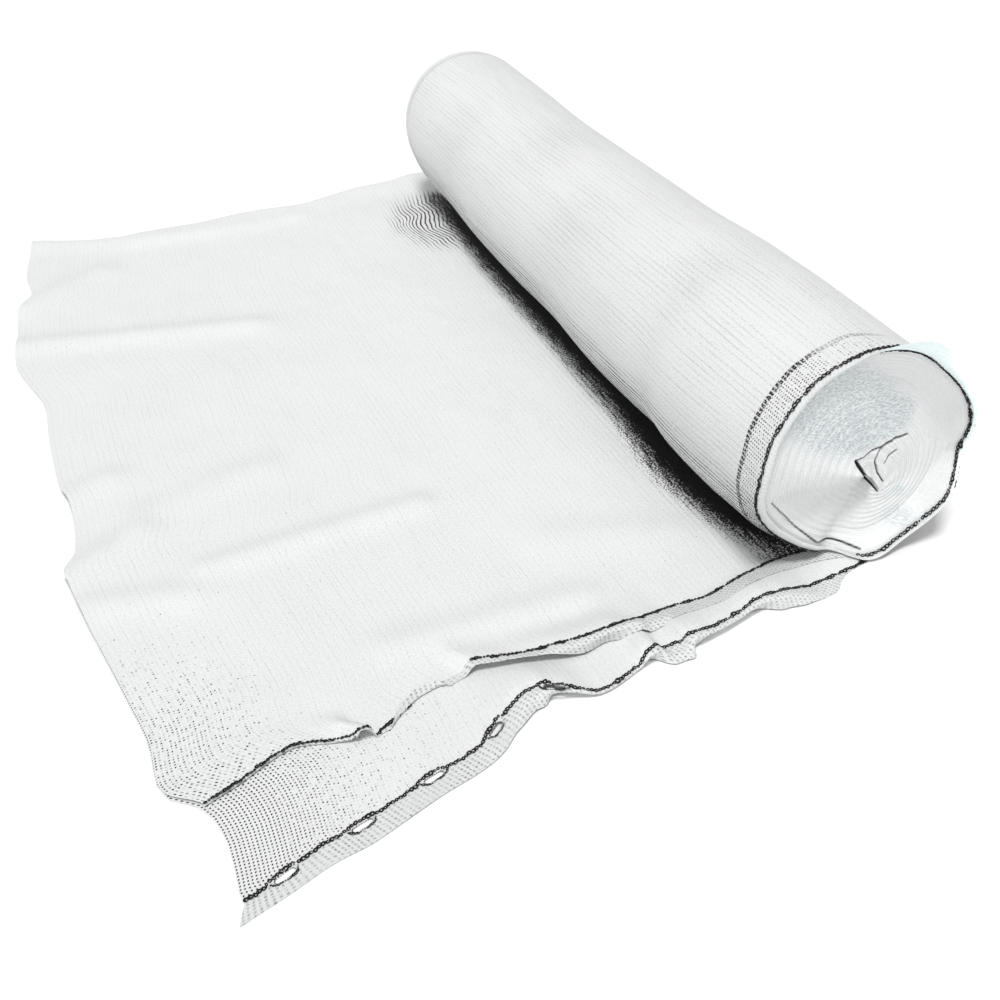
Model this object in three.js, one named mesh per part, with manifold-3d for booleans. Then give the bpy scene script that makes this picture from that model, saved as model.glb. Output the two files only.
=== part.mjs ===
// Roll of scaffold netting with the end of the net unrolled on the ground.
//
// Millimetres, +Z up. The net is folded double along its length and rolled
// without a tube. The roll's axis lies along Y. The loose end comes off the
// bottom of the roll and lies towards -X, with its fold at +Y and its two
// selvedges at -Y. The origin is on the ground below the roll's axis, half way
// along the roll.

import * as THREE from 'three';
import { mergeVertices } from 'three/addons/utils/BufferGeometryUtils.js';
import Module from 'manifold-3d';

const { lerp, clamp, smoothstep, degToRad } = THREE.MathUtils;

// The cloth
const LAYER = 1.5;             // thickness of one layer of net
const LAYER_GAP = 1.2;         // least space between the two layers
const CLEARANCE = 0.3;         // space between pieces that touch

// The roll
const ROLL_RADIUS = 143;
const BED_HEIGHT = 2 * LAYER + LAYER_GAP + CLEARANCE;
const FLAT_DEPTH = 4;          // how much the roll's own weight flattens it
const AXIS_HEIGHT = BED_HEIGHT + ROLL_RADIUS - FLAT_DEPTH;
const RIM_THICKNESS = 3.5;     // the last turn where it stands proud of the end
const RIM_MIDDLE = 0.6;        // share of the way from the chain to the hem's end
const FACE_INSET = 7;          // from the rim's outside to the edge of the end face
const CORE_X = 32;             // middle of the pinched core, from the axis
const CORE_Z = 5;
const CORE_HALF_LENGTH = 36;
const CORE_HALF_HEIGHT = 4;
const CORE_TILT = degToRad(17);
const CORE_DEPTH = 24;         // how far the core lies behind the end face
const ROUND_STEPS = 56;
const BARREL_RINGS = 22;

// The loose end
const END_X = 20;              // where the loose end stops, under the roll
const SEAT_FROM = 45;          // lies dead flat nearer to the axis than this
const SEAT_TO = 110;           // lies as loose as it likes further out than this
const LIFT_SPREAD = 60;        // width over which a lifted edge settles again
const FOLD_SPACE = 9;          // height of the soft fold between its layers' middles
const FOLD_SPREAD = 80;
const LOWER_SHARE = 0.3;       // part of a ridge that the lower layer follows
const ALONG_STEPS = 28;
const ACROSS_STEPS = 26;
const FOLD_STEPS = 4;

// The selvedges
const STRIP_INBOARD = 12;      // from the black chain to the strip's inner edge
const HEM_WIDTH = 27;          // from the black chain to the cloth's outer edge
const HEM_BEND_RADIUS = 2.6;
const HEM_BEND_LENGTH = Math.PI * HEM_BEND_RADIUS;
const HEM_BEND_STEPS = 4;
const FLAT_SHOWING = 17;       // flat hem before the bend, when the hem lies open
const TURNED_SHOWING = 3;      // the same, when the hem is turned under
const OUTWARDS = new THREE.Vector2(0.26, -0.96).normalize();
const CORNER_PULL = 16;        // how far the hem's corner is drawn out at the cut end
const CORNER_REACH = 0.12;     // share of the loose end's length that this bends
const HEM_LEFT = 0.3;          // share of the hem that still shows where it meets the roll
const HEM_GOES_FROM = -55;     // where along X the hem begins to go in under the roll
const HEM_GOES_TO = -15;

// The buttonhole eyelets that show open
const EYELET_COUNT = 5;
const EYELET_FIRST = 45;       // from the cut end to the first eyelet's middle
const EYELET_PITCH = 90;
const EYELET_LENGTH = 24;
const EYELET_WIDTH = 7;
const EYELET_OUTBOARD = 2;     // from the chain's line to the eyelet's middle
const CUTTER_LOW = -5;
const CUTTER_HEIGHT = 60;

// The black chains
const CHAIN_WIDTH = 4;
const CHAIN_HEIGHT = 1.6;
const CHAIN_SEAT = 1.1;        // space under a chain, which bridges the cloth's bends
const CHAIN_PER_STEP = 3;
const CHAIN_FORK = 4.5;        // how far the chain swings inboard past an eyelet
const CHAIN_END_X = -55;       // the inner chain goes out of reach under the roll
const RIM_CHAIN_FROM = 20;     // degrees from the bottom, up the +X side
const RIM_CHAIN_TO = 340;

// Black chain of the lower layer, from the cut end to the roll.
// turned: 0 where the hem lies open, 1 where it is turned under.
const OUTER_LINE = [
  { x: -788, y: -981, turned: 0 },
  { x: -747, y: -963, turned: 0 },
  { x: -707, y: -943, turned: 0 },
  { x: -667, y: -933, turned: 0 },
  { x: -627, y: -917, turned: 0 },
  { x: -583, y: -899, turned: 0 },
  { x: -536, y: -883, turned: 0 },
  { x: -508, y: -868, turned: 0.1 },
  { x: -483, y: -845, turned: 0.1 },
  { x: -448, y: -828, turned: 0.1 },
  { x: -416, y: -840, turned: 0.4 },
  { x: -373, y: -851, turned: 1 },
  { x: -320, y: -831, turned: 1 },
  { x: -288, y: -814, turned: 0.2 },
  { x: -250, y: -818, turned: 0.5 },
  { x: -213, y: -812, turned: 0.7 },
  { x: -178, y: -801, turned: 0.7 },
  { x: -150, y: -791, turned: 0.7 },
  { x: -120, y: -788, turned: 0.5 },
  { x: -90, y: -783, turned: 0.4 },
  { x: -62, y: -775, turned: 0 },
  { x: -30, y: -769, turned: 0 },
  { x: 20, y: -760, turned: 0 },
];

// Black chain of the upper layer, from the cut end to the roll.
const INNER_LINE = [
  { x: -806, y: -850, turned: 1 },
  { x: -767, y: -833, turned: 1 },
  { x: -708, y: -804, turned: 1 },
  { x: -667, y: -812, turned: 1 },
  { x: -626, y: -823, turned: 1 },
  { x: -599, y: -808, turned: 1 },
  { x: -563, y: -782, turned: 1 },
  { x: -525, y: -765, turned: 1 },
  { x: -491, y: -756, turned: 0.5 },
  { x: -436, y: -768, turned: 0 },
  { x: -377, y: -774, turned: 0.2 },
  { x: -338, y: -773, turned: 0.4 },
  { x: -283, y: -760, turned: 0.1 },
  { x: -242, y: -747, turned: 0 },
  { x: -190, y: -746, turned: 0 },
  { x: -125, y: -731, turned: 0 },
  { x: -81, y: -725, turned: 0 },
  { x: 20, y: -725, turned: 0 },
];

// The fold, from the cut end to the roll.
const FOLD_LINE = [
  { x: -914, y: 842 },
  { x: -860, y: 818 },
  { x: -781, y: 786 },
  { x: -700, y: 778 },
  { x: -575, y: 782 },
  { x: -455, y: 796 },
  { x: -359, y: 786 },
  { x: -240, y: 826 },
  { x: -158, y: 830 },
  { x: -106, y: 850 },
  { x: -50, y: 872 },
  { x: 20, y: 878 },
];

// The cut end, from the lower layer's corner to the fold.
const CUT_LINE = [
  { y: -1010, x: -790 },
  { y: -965, x: -788 },
  { y: -927, x: -788 },
  { y: -892, x: -791 },
  { y: -850, x: -806 },
  { y: -822, x: -838 },
  { y: -800, x: -846 },
  { y: -735, x: -848 },
  { y: -671, x: -860 },
  { y: -575, x: -880 },
  { y: -505, x: -895 },
  { y: -417, x: -911 },
  { y: -381, x: -916 },
  { y: -336, x: -900 },
  { y: -222, x: -899 },
  { y: -161, x: -911 },
  { y: -6, x: -919 },
  { y: 107, x: -921 },
  { y: 199, x: -945 },
  { y: 273, x: -961 },
  { y: 365, x: -956 },
  { y: 500, x: -949 },
  { y: 566, x: -925 },
  { y: 663, x: -932 },
  { y: 842, x: -914 },
];

// Soft ridges where the loose end doesn't lie flat.
const RIDGES = [
  { fromX: -960, fromY: 345, toX: -560, toY: 248, height: 9, width: 34 },
  { fromX: -940, fromY: 505, toX: -800, toY: 620, height: 8, width: 38 },
  { fromX: -700, fromY: 735, toX: -380, toY: 725, height: 6, width: 30 },
  { fromX: -900, fromY: -200, toX: -850, toY: -172, height: 7, width: 30 },
  { fromX: -810, fromY: -285, toX: -640, toY: -235, height: 5, width: 36 },
  { fromX: -915, fromY: -398, toX: -820, toY: -330, height: 9, width: 30 },
  { fromX: -895, fromY: -468, toX: -770, toY: -495, height: 6, width: 32 },
  { fromX: -740, fromY: -445, toX: -455, toY: -415, height: 7, width: 26 },
  { fromX: -560, fromY: -690, toX: -330, toY: -690, height: 6, width: 30 },
  { fromX: -330, fromY: -560, toX: -180, toY: -610, height: 4, width: 40 },
];

// The roll's size along its length, where it shows against the ground on the
// side of the loose end, and against the background at its top.
const SECTIONS = [
  { y: -755, side: 140, top: 142 },
  { y: -683, side: 141, top: 142 },
  { y: -600, side: 147, top: 144 },
  { y: -502, side: 148, top: 146 },
  { y: -444, side: 143, top: 146 },
  { y: -363, side: 146, top: 145 },
  { y: -227, side: 149, top: 139 },
  { y: -62, side: 144, top: 138 },
  { y: 110, side: 147, top: 137 },
  { y: 322, side: 146, top: 137 },
  { y: 500, side: 139, top: 143 },
  { y: 643, side: 138, top: 146 },
  { y: 760, side: 123, top: 148 },
];
const SIDE_ANGLE = -54;

// Shallow dents in the wound net. Angles are in degrees from the bottom of the
// roll, up the +X side, so 180 is the top and -90 the side of the loose end.
const DENTS = [
  { y: -430, angle: -150, depth: 4, length: 60, spread: 40 },
  { y: -120, angle: -125, depth: 3, length: 110, spread: 25 },
  { y: 150, angle: -165, depth: 3, length: 90, spread: 30 },
  { y: 420, angle: -120, depth: 3, length: 90, spread: 28 },
  { y: 0, angle: 90, depth: 3, length: 140, spread: 30 },
];

// The last turn round the near end: where its black chain runs, where its hem
// ends, where the end face begins, and how far the hem leans out or in.
const RIM = [
  { angle: -180, chain: -743, edge: -752, face: -737, lean: -7 },
  { angle: -158, chain: -748, edge: -756, face: -740, lean: -10 },
  { angle: -129, chain: -759, edge: -766, face: -750, lean: -13 },
  { angle: -100, chain: -765, edge: -771, face: -756, lean: -14 },
  { angle: -80, chain: -761, edge: -767, face: -752, lean: -14 },
  { angle: -60, chain: -744, edge: -753, face: -737, lean: -15 },
  { angle: -40, chain: -722, edge: -732, face: -716, lean: -14 },
  { angle: -22, chain: -711, edge: -721, face: -705, lean: -12 },
  { angle: -6, chain: -718, edge: -728, face: -710, lean: -8 },
  { angle: 10, chain: -753, edge: -763, face: -728, lean: -1 },
  { angle: 30, chain: -754, edge: -767, face: -738, lean: 0 },
  { angle: 60, chain: -758, edge: -768, face: -738, lean: 0 },
  { angle: 85, chain: -748, edge: -762, face: -738, lean: -1 },
  { angle: 105, chain: -757, edge: -775, face: -738, lean: 0 },
  { angle: 128, chain: -759, edge: -774, face: -738, lean: 1 },
  { angle: 143, chain: -754, edge: -765, face: -738, lean: 12 },
  { angle: 162, chain: -746, edge: -759, face: -736, lean: 10 },
  { angle: 180, chain: -743, edge: -752, face: -737, lean: -7 },
];

// The far end from its middle outwards, as a share of the roll's radius.
const FAR_RINGS = [
  { y: 740, reach: 0 },
  { y: 748, reach: 0.3 },
  { y: 757, reach: 0.62 },
  { y: 763, reach: 0.85 },
  { y: 757, reach: 0.94 },
  { y: 744, reach: 0.985 },
];
const BARREL_FAR = 722;
const BARREL_NEAR = -698;

// The near end face from its edge to the core, as a share of the way in.
const FACE_RINGS = [0, 0.18, 0.4, 0.62, 0.82, 0.97];

/** Finds the two rows of a table on either side of a place along it. */
function bracket(rows, along, at) {
  let i = 0;
  while (i < rows.length - 2 && rows[i + 1][along] < at) i += 1;
  const from = rows[i][along];
  const share = clamp((at - from) / (rows[i + 1][along] - from), 0, 1);
  return { i, share };
}

/** A column of a table as a smooth curve through its rows. */
function curveOf(rows, along, name) {
  const slopes = rows.map((row, i) => {
    const before = rows[Math.max(i - 1, 0)];
    const after = rows[Math.min(i + 1, rows.length - 1)];
    return (after[name] - before[name]) / (after[along] - before[along]);
  });
  return (at) => {
    const { i, share } = bracket(rows, along, at);
    const span = rows[i + 1][along] - rows[i][along];
    const rest = 1 - share;
    const ease = share * share * (3 - 2 * share);
    const leaving = share * rest * rest * span * slopes[i];
    const arriving = share * share * rest * span * slopes[i + 1];
    return lerp(rows[i][name], rows[i + 1][name], ease) + leaving - arriving;
  };
}

/** A column of a table eased from row to row, never past either. */
function easedOf(rows, along, name) {
  return (at) => {
    const { i, share } = bracket(rows, along, at);
    return lerp(rows[i][name], rows[i + 1][name], smoothstep(share, 0, 1));
  };
}

const outerLine = { y: curveOf(OUTER_LINE, 'x', 'y'), turned: easedOf(OUTER_LINE, 'x', 'turned') };
const innerLine = { y: curveOf(INNER_LINE, 'x', 'y'), turned: easedOf(INNER_LINE, 'x', 'turned') };
const foldY = curveOf(FOLD_LINE, 'x', 'y');
const cutX = curveOf(CUT_LINE, 'y', 'x');

/** How free the loose end is at a place: 0 under the roll, 1 clear of it. */
function freedom(x) {
  return smoothstep(-x, SEAT_FROM, SEAT_TO);
}

/** Height of all the ridges together at a place on the ground. */
function ridgeHeight(x, y) {
  const place = new THREE.Vector3(x, y, 0);
  const nearest = new THREE.Vector3();
  return RIDGES.reduce((height, ridge) => {
    const from = new THREE.Vector3(ridge.fromX, ridge.fromY, 0);
    const to = new THREE.Vector3(ridge.toX, ridge.toY, 0);
    new THREE.Line3(from, to).closestPointToPoint(place, true, nearest);
    const away = place.distanceTo(nearest) / ridge.width;
    return height + ridge.height * Math.exp(-away * away);
  }, 0);
}

/** Where a point of the hem is, out from the chain and down from it. */
function hemProfile(fromChain, turned) {
  const showing = lerp(FLAT_SHOWING, TURNED_SHOWING, turned);
  const angle = Math.max(Math.PI * turned, 0.001);
  const radius = HEM_BEND_LENGTH / angle;
  const bent = clamp(fromChain - showing, 0, HEM_BEND_LENGTH);
  const after = Math.max(fromChain - showing - HEM_BEND_LENGTH, 0);
  const heading = bent / radius;
  return {
    out: Math.min(fromChain, showing) + radius * Math.sin(heading) + after * Math.cos(heading),
    down: radius * (1 - Math.cos(heading)) + after * Math.sin(heading),
  };
}

/** Distances from the chain at which the hem is given points. */
function hemSteps(turned) {
  const showing = lerp(FLAT_SHOWING, TURNED_SHOWING, turned);
  const steps = [];
  for (let i = 0; i <= HEM_BEND_STEPS; i += 1) {
    steps.push(showing + (HEM_BEND_LENGTH * i) / HEM_BEND_STEPS);
  }
  steps.push(HEM_WIDTH);
  return steps;
}

/** How high a selvedge is carried by the hem that is turned under it. */
function hemLift(turned) {
  return hemProfile(HEM_WIDTH, turned).down;
}

/** Middle height of the lower layer at a place on the ground. */
function lowerHeight(x, y, lift, inboard) {
  const settled = 1 - smoothstep(inboard, 0, LIFT_SPREAD);
  return LAYER / 2 + freedom(x) * (LOWER_SHARE * ridgeHeight(x, y) + lift * settled);
}

/** The same, for a place given only by its position. */
function lowerField(x, y) {
  const inboard = y - outerLine.y(x) - STRIP_INBOARD;
  return lowerHeight(x, y, hemLift(outerLine.turned(x)), inboard);
}

/** Middle height of the upper layer at a place on the ground. */
function upperHeight(x, y, lift, inboard) {
  const settled = 1 - smoothstep(inboard, 0, LIFT_SPREAD);
  const nearFold = smoothstep(y, foldY(x) - FOLD_SPREAD, foldY(x));
  const foldRise = (FOLD_SPACE - LAYER - LAYER_GAP) * nearFold;
  const loose = (1 - LOWER_SHARE) * ridgeHeight(x, y) + lift * settled + foldRise;
  return lowerField(x, y) + LAYER + LAYER_GAP + freedom(x) * loose;
}

/** A place on the black chain's line, by its share of the way to the roll. */
function linePoint(line, startX, share) {
  const x = lerp(startX, END_X, share);
  return new THREE.Vector2(x, line.y(x));
}

/** How far the cut end lies beyond the straight line from a layer's corner to the fold. */
function cutBeyond(corner, share) {
  const straight = corner.clone().lerp(new THREE.Vector2(FOLD_LINE[0].x, FOLD_LINE[0].y), share);
  const atCorner = cutX(corner.y) - corner.x;
  return cutX(straight.y) - straight.x - atCorner * (1 - share);
}

/** A place on a layer between its near edge and the fold, true to the cut end. */
function layerPlace(near, far, corner, share, along) {
  const place = near.clone().lerp(far, share);
  place.x += cutBeyond(corner, share) * (1 - along) ** 2;
  return place;
}

/** The loose end's section at one step along it, from the strip round to the upper hem. */
function netSection(step) {
  const along = step / ALONG_STEPS;
  const chainLow = linePoint(outerLine, OUTER_LINE[0].x, along);
  const near = chainLow.clone().addScaledVector(OUTWARDS, -STRIP_INBOARD);
  const lowCorner = linePoint(outerLine, OUTER_LINE[0].x, 0);
  lowCorner.addScaledVector(OUTWARDS, -STRIP_INBOARD);
  const far = linePoint({ y: foldY }, FOLD_LINE[0].x, along);
  const chainHigh = linePoint(innerLine, INNER_LINE[0].x, along);
  const highCorner = linePoint(innerLine, INNER_LINE[0].x, 0);
  const lowerLift = hemLift(outerLine.turned(chainLow.x));
  const turned = innerLine.turned(chainHigh.x);
  const upperLift = hemLift(turned);
  const section = [];

  for (let i = 0; i <= ACROSS_STEPS; i += 1) {
    const place = layerPlace(near, far, lowCorner, i / ACROSS_STEPS, along);
    const z = lowerHeight(place.x, place.y, lowerLift, place.y - near.y);
    section.push(new THREE.Vector3(place.x, place.y, z));
  }

  const bottom = section[section.length - 1];
  const top = upperHeight(far.x, far.y, 0, far.y - chainHigh.y);
  const radius = (top - bottom.z) / 2;
  for (let i = 1; i <= FOLD_STEPS; i += 1) {
    const turn = (Math.PI * i) / (FOLD_STEPS + 1);
    const y = bottom.y + radius * Math.sin(turn);
    section.push(new THREE.Vector3(bottom.x, y, bottom.z + radius * (1 - Math.cos(turn))));
  }

  for (let i = ACROSS_STEPS; i >= 0; i -= 1) {
    const place = layerPlace(chainHigh, far, highCorner, i / ACROSS_STEPS, along);
    const z = upperHeight(place.x, place.y, upperLift, place.y - chainHigh.y);
    section.push(new THREE.Vector3(place.x, place.y, z));
  }

  for (const fromChain of hemSteps(turned)) {
    const { out, down } = hemProfile(fromChain, turned);
    const place = chainHigh.clone().addScaledVector(OUTWARDS, out);
    const ground = lowerField(place.x, place.y) + LAYER + LAYER_GAP;
    const z = ground + freedom(place.x) * (upperLift - down);
    section.push(new THREE.Vector3(place.x, place.y, z));
  }
  return section;
}

/** The outer selvedge strip's section at one step, from its hem inwards. */
function stripSection(step) {
  const along = step / ALONG_STEPS;
  const chain = linePoint(outerLine, OUTER_LINE[0].x, along);
  const turned = outerLine.turned(chain.x);
  const lift = hemLift(turned);
  const pull = (CORNER_PULL / HEM_WIDTH) * (1 - smoothstep(along, 0, CORNER_REACH));
  const drawn = lerp(1, HEM_LEFT, smoothstep(chain.x, HEM_GOES_FROM, HEM_GOES_TO));
  const distances = [CLEARANCE - STRIP_INBOARD, 0, ...hemSteps(turned)].reverse();
  return distances.map((fromChain) => {
    const { out, down } = hemProfile(fromChain, turned);
    const place = chain.clone().addScaledVector(OUTWARDS, out > 0 ? out * drawn : out);
    const z = LAYER / 2 + freedom(chain.x) * (lift - down);
    return new THREE.Vector3(place.x - pull * Math.max(out, 0), place.y, z);
  });
}

/** The direction square to a grid of points at one of them. */
function gridNormal(grid, i, j) {
  const lastRow = grid.length - 1;
  const lastPoint = grid[0].length - 1;
  const alongRow = grid[Math.min(i + 1, lastRow)][j].clone().sub(grid[Math.max(i - 1, 0)][j]);
  const acrossRow = grid[i][Math.min(j + 1, lastPoint)].clone().sub(grid[i][Math.max(j - 1, 0)]);
  return alongRow.cross(acrossRow).normalize();
}

/** Bends a flat slab of cloth so that its middle follows a grid of points. */
function clothSlab(grid, thickness) {
  const rows = grid.length - 1;
  const columns = grid[0].length - 1;
  const slab = new THREE.BoxGeometry(rows, columns, 2, rows, columns, 1);
  const position = slab.getAttribute('position');
  for (let k = 0; k < position.count; k += 1) {
    const i = Math.round(position.getX(k) + rows / 2);
    const j = Math.round(position.getY(k) + columns / 2);
    const normal = gridNormal(grid, i, j);
    const point = grid[i][j].clone().addScaledVector(normal, (position.getZ(k) * thickness) / 2);
    position.setXYZ(k, point.x, point.y, point.z);
  }
  return closed(slab);
}

/** Leaves a geometry with its positions alone and its shared corners merged. */
function closed(geometry) {
  geometry.deleteAttribute('normal');
  geometry.deleteAttribute('uv');
  return mergeVertices(geometry);
}

/** A point on a piecewise straight row of sections, by a broken step number. */
function between(sections, step, index) {
  const i = Math.min(Math.floor(step), sections.length - 2);
  return sections[i][index].clone().lerp(sections[i + 1][index], step - i);
}

/** Middles and directions of the open eyelets along the outer chain's line. */
function eyelets(strip, chainIndex) {
  const path = new THREE.CurvePath();
  for (let i = 0; i < strip.length - 1; i += 1) {
    path.add(new THREE.LineCurve3(strip[i][chainIndex], strip[i + 1][chainIndex]));
  }
  const length = path.getLength();
  const places = [];
  for (let i = 0; i < EYELET_COUNT; i += 1) {
    const middle = (EYELET_FIRST + EYELET_PITCH * i) / length;
    const reach = EYELET_LENGTH / 2 / length;
    const from = path.getPointAt(middle - reach);
    const to = path.getPointAt(middle + reach);
    const angle = Math.atan2(to.y - from.y, to.x - from.x);
    const centre = path.getPointAt(middle);
    centre.x += OUTWARDS.x * EYELET_OUTBOARD;
    centre.y += OUTWARDS.y * EYELET_OUTBOARD;
    places.push({ centre, angle });
  }
  return places;
}

/** The long oval that cuts one eyelet through the strip. */
function eyeletCutter({ centre, angle }) {
  const radius = EYELET_WIDTH / 2;
  const straight = EYELET_LENGTH / 2 - radius;
  const oval = new THREE.Shape();
  oval.absarc(straight, 0, radius, -Math.PI / 2, Math.PI / 2, false);
  oval.absarc(-straight, 0, radius, Math.PI / 2, (3 * Math.PI) / 2, false);
  oval.closePath();
  const cutter = new THREE.ExtrudeGeometry(oval, {
    depth: CUTTER_HEIGHT, bevelEnabled: false, curveSegments: 6,
  });
  cutter.rotateZ(angle);
  cutter.translate(centre.x, centre.y, CUTTER_LOW);
  return closed(cutter);
}

/** A closed geometry as a solid that can be cut. */
function solidOf(wasm, geometry) {
  const vertProperties = Float32Array.from(geometry.getAttribute('position').array);
  const triVerts = Uint32Array.from(geometry.getIndex().array);
  return new wasm.Manifold(new wasm.Mesh({ numProp: 3, vertProperties, triVerts }));
}

/** A solid back as a geometry. */
function geometryOf(solid) {
  const { vertProperties, triVerts } = solid.getMesh();
  const geometry = new THREE.BufferGeometry();
  geometry.setAttribute('position', new THREE.BufferAttribute(vertProperties, 3));
  geometry.setIndex(new THREE.BufferAttribute(triVerts, 1));
  return geometry;
}

/** The outer selvedge strip with its open eyelets cut through. */
function eyeletStrip(wasm, strip, places) {
  let solid = solidOf(wasm, clothSlab(strip, LAYER));
  for (const place of places) {
    solid = solid.subtract(solidOf(wasm, eyeletCutter(place)));
  }
  return geometryOf(solid);
}

/** A flat black chain on top of a selvedge, from row to row of its line. */
function chainOn(sections, index, lastStep, swing) {
  const rows = [];
  const count = Math.round(lastStep * CHAIN_PER_STEP);
  for (let k = 0; k <= count; k += 1) {
    const middle = between(sections, (lastStep * k) / count, index);
    middle.z += LAYER / 2 + CHAIN_SEAT + CHAIN_HEIGHT / 2;
    const inboard = swing(middle);
    rows.push([CHAIN_WIDTH / 2, -CHAIN_WIDTH / 2].map((side) => new THREE.Vector3(
      middle.x + OUTWARDS.x * (side - inboard),
      middle.y + OUTWARDS.y * (side - inboard),
      middle.z,
    )));
  }
  return clothSlab(rows, CHAIN_HEIGHT);
}

/** How far the outer chain swings inboard to pass the nearest eyelet. */
function forkSwing(places, middle) {
  const away = places.map(({ centre }) => Math.hypot(centre.x - middle.x, centre.y - middle.y));
  const nearest = Math.min(...away);
  return CHAIN_FORK * (1 - smoothstep(nearest, EYELET_LENGTH / 2 - 2, EYELET_LENGTH));
}

const sideRadius = curveOf(SECTIONS, 'y', 'side');
const topRadius = curveOf(SECTIONS, 'y', 'top');
const rimColumn = (name) => curveOf(RIM, 'angle', name);
const rimChain = rimColumn('chain');
const rimEdge = rimColumn('edge');
const rimFace = rimColumn('face');
const rimLean = rimColumn('lean');

/** Brings an angle in degrees into the range of the tables. */
function turnWithin(angle) {
  return THREE.MathUtils.euclideanModulo(angle + 180, 360) - 180;
}

/** The roll's radius at an angle round it and a place along it. */
function barrelRadius(angle, y) {
  const towardsTop = 0.5 - 0.5 * Math.cos(degToRad(angle - SIDE_ANGLE));
  const full = lerp(sideRadius(y), topRadius(y), towardsTop);
  return DENTS.reduce((radius, dent) => {
    const alongAway = (y - dent.y) / dent.length;
    const roundAway = turnWithin(angle - dent.angle) / dent.spread;
    return radius - dent.depth * Math.exp(-alongAway * alongAway - roundAway * roundAway);
  }, full);
}

/** A point from its distance and angle about the roll's axis, never below its bed. */
function aboutAxis(radius, angle, y) {
  const turn = degToRad(angle);
  const z = AXIS_HEIGHT - radius * Math.cos(turn);
  return new THREE.Vector3(radius * Math.sin(turn), y, Math.max(z, BED_HEIGHT));
}

/** A point of the near end face, from its edge (0) in to the pinched core (1). */
function facePoint(angle, inwards) {
  const turn = degToRad(angle);
  const edge = aboutAxis(barrelRadius(angle, rimFace(angle)) - FACE_INSET, angle, rimFace(angle));
  edge.z += LAYER;
  const core = new THREE.Vector2(CORE_HALF_LENGTH * Math.sin(turn), -CORE_HALF_HEIGHT * Math.cos(turn));
  core.rotateAround(new THREE.Vector2(), CORE_TILT);
  const depth = CORE_DEPTH * Math.sin((Math.PI / 2) * inwards);
  const middle = new THREE.Vector3(CORE_X + core.x, edge.y + depth, AXIS_HEIGHT + CORE_Z + core.y);
  return edge.lerp(middle, inwards).setY(edge.y);
}

/** A point of the last turn's rim, from its chain (0) to its hem's end (1). */
function rimPoint(angle, share, inside) {
  const y = lerp(rimChain(angle), rimEdge(angle), share);
  const lean = rimLean(angle) * share * share;
  return aboutAxis(barrelRadius(angle, y) + lean - inside, angle, y + inside * share);
}

/** A point on the outside of the wound net, between its two ends. */
function barrelPoint(angle, y) {
  return aboutAxis(barrelRadius(angle, y), angle, y);
}

/** All rings of the roll from the middle of its far end to its core at the near end. */
function rollRings() {
  const rings = FAR_RINGS.map(
    ({ y, reach }) => (angle) => aboutAxis(barrelRadius(angle, y) * reach, angle, y),
  );
  for (let i = 0; i < BARREL_RINGS; i += 1) {
    const y = lerp(BARREL_FAR, BARREL_NEAR, i / (BARREL_RINGS - 1));
    rings.push((angle) => barrelPoint(angle, y));
  }
  rings.push((angle) => rimPoint(angle, 0, 0));
  rings.push((angle) => rimPoint(angle, RIM_MIDDLE, 0));
  rings.push((angle) => rimPoint(angle, 1, 0));
  rings.push((angle) => rimPoint(angle, 1, RIM_THICKNESS));
  rings.push((angle) => rimPoint(angle, RIM_MIDDLE, RIM_THICKNESS));
  for (const inwards of FACE_RINGS) {
    rings.push((angle) => facePoint(angle, inwards));
  }
  const core = new THREE.Vector3(CORE_X, rimFace(0) + CORE_DEPTH, AXIS_HEIGHT + CORE_Z);
  rings.push(() => core);
  return rings;
}

/** The wound net: a ball's rows of points set out on the roll's rings. */
function woundNet() {
  const rings = rollRings();
  const roll = new THREE.SphereGeometry(1, ROUND_STEPS, rings.length - 1);
  const position = roll.getAttribute('position');
  for (let k = 0; k < position.count; k += 1) {
    const column = k % (ROUND_STEPS + 1);
    const row = Math.floor(k / (ROUND_STEPS + 1));
    const angle = turnWithin(270 - (360 * (column % ROUND_STEPS)) / ROUND_STEPS);
    const point = rings[row](angle);
    position.setXYZ(k, point.x, point.y, point.z);
  }
  return closed(roll);
}

/** The black chain round the outside of the last turn at the near end. */
function rimChainSlab() {
  const rows = [];
  const from = Math.ceil((RIM_CHAIN_FROM * ROUND_STEPS) / 360);
  const to = Math.floor((RIM_CHAIN_TO * ROUND_STEPS) / 360);
  for (let i = from; i <= to; i += 1) {
    const angle = turnWithin((360 * i) / ROUND_STEPS);
    const line = rimPoint(angle, 0, 0);
    const outwards = new THREE.Vector3(Math.sin(degToRad(angle)), 0, -Math.cos(degToRad(angle)));
    const [hemSide, barrelSide] = [rimPoint(angle, RIM_MIDDLE, 0), barrelPoint(angle, BARREL_NEAR)].map(
      (towards) => line.clone().lerp(towards, CHAIN_WIDTH / 2 / line.distanceTo(towards)),
    );
    const standing = outwards.multiplyScalar(CHAIN_SEAT + CHAIN_HEIGHT / 2);
    rows.push([hemSide, line, barrelSide].map((point) => point.clone().add(standing)));
  }
  return clothSlab(rows, CHAIN_HEIGHT);
}

/** A named mesh of one material. */
function piece(name, geometry, material) {
  geometry.computeVertexNormals();
  const mesh = new THREE.Mesh(geometry, material.clone());
  mesh.name = name;
  return mesh;
}

const netCloth = new THREE.MeshStandardMaterial({ color: 0xeef0f0, roughness: 0.72, metalness: 0 });
const chainYarn = new THREE.MeshStandardMaterial({ color: 0x161618, roughness: 0.6, metalness: 0 });

const wasm = await Module();
wasm.setup();

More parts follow.
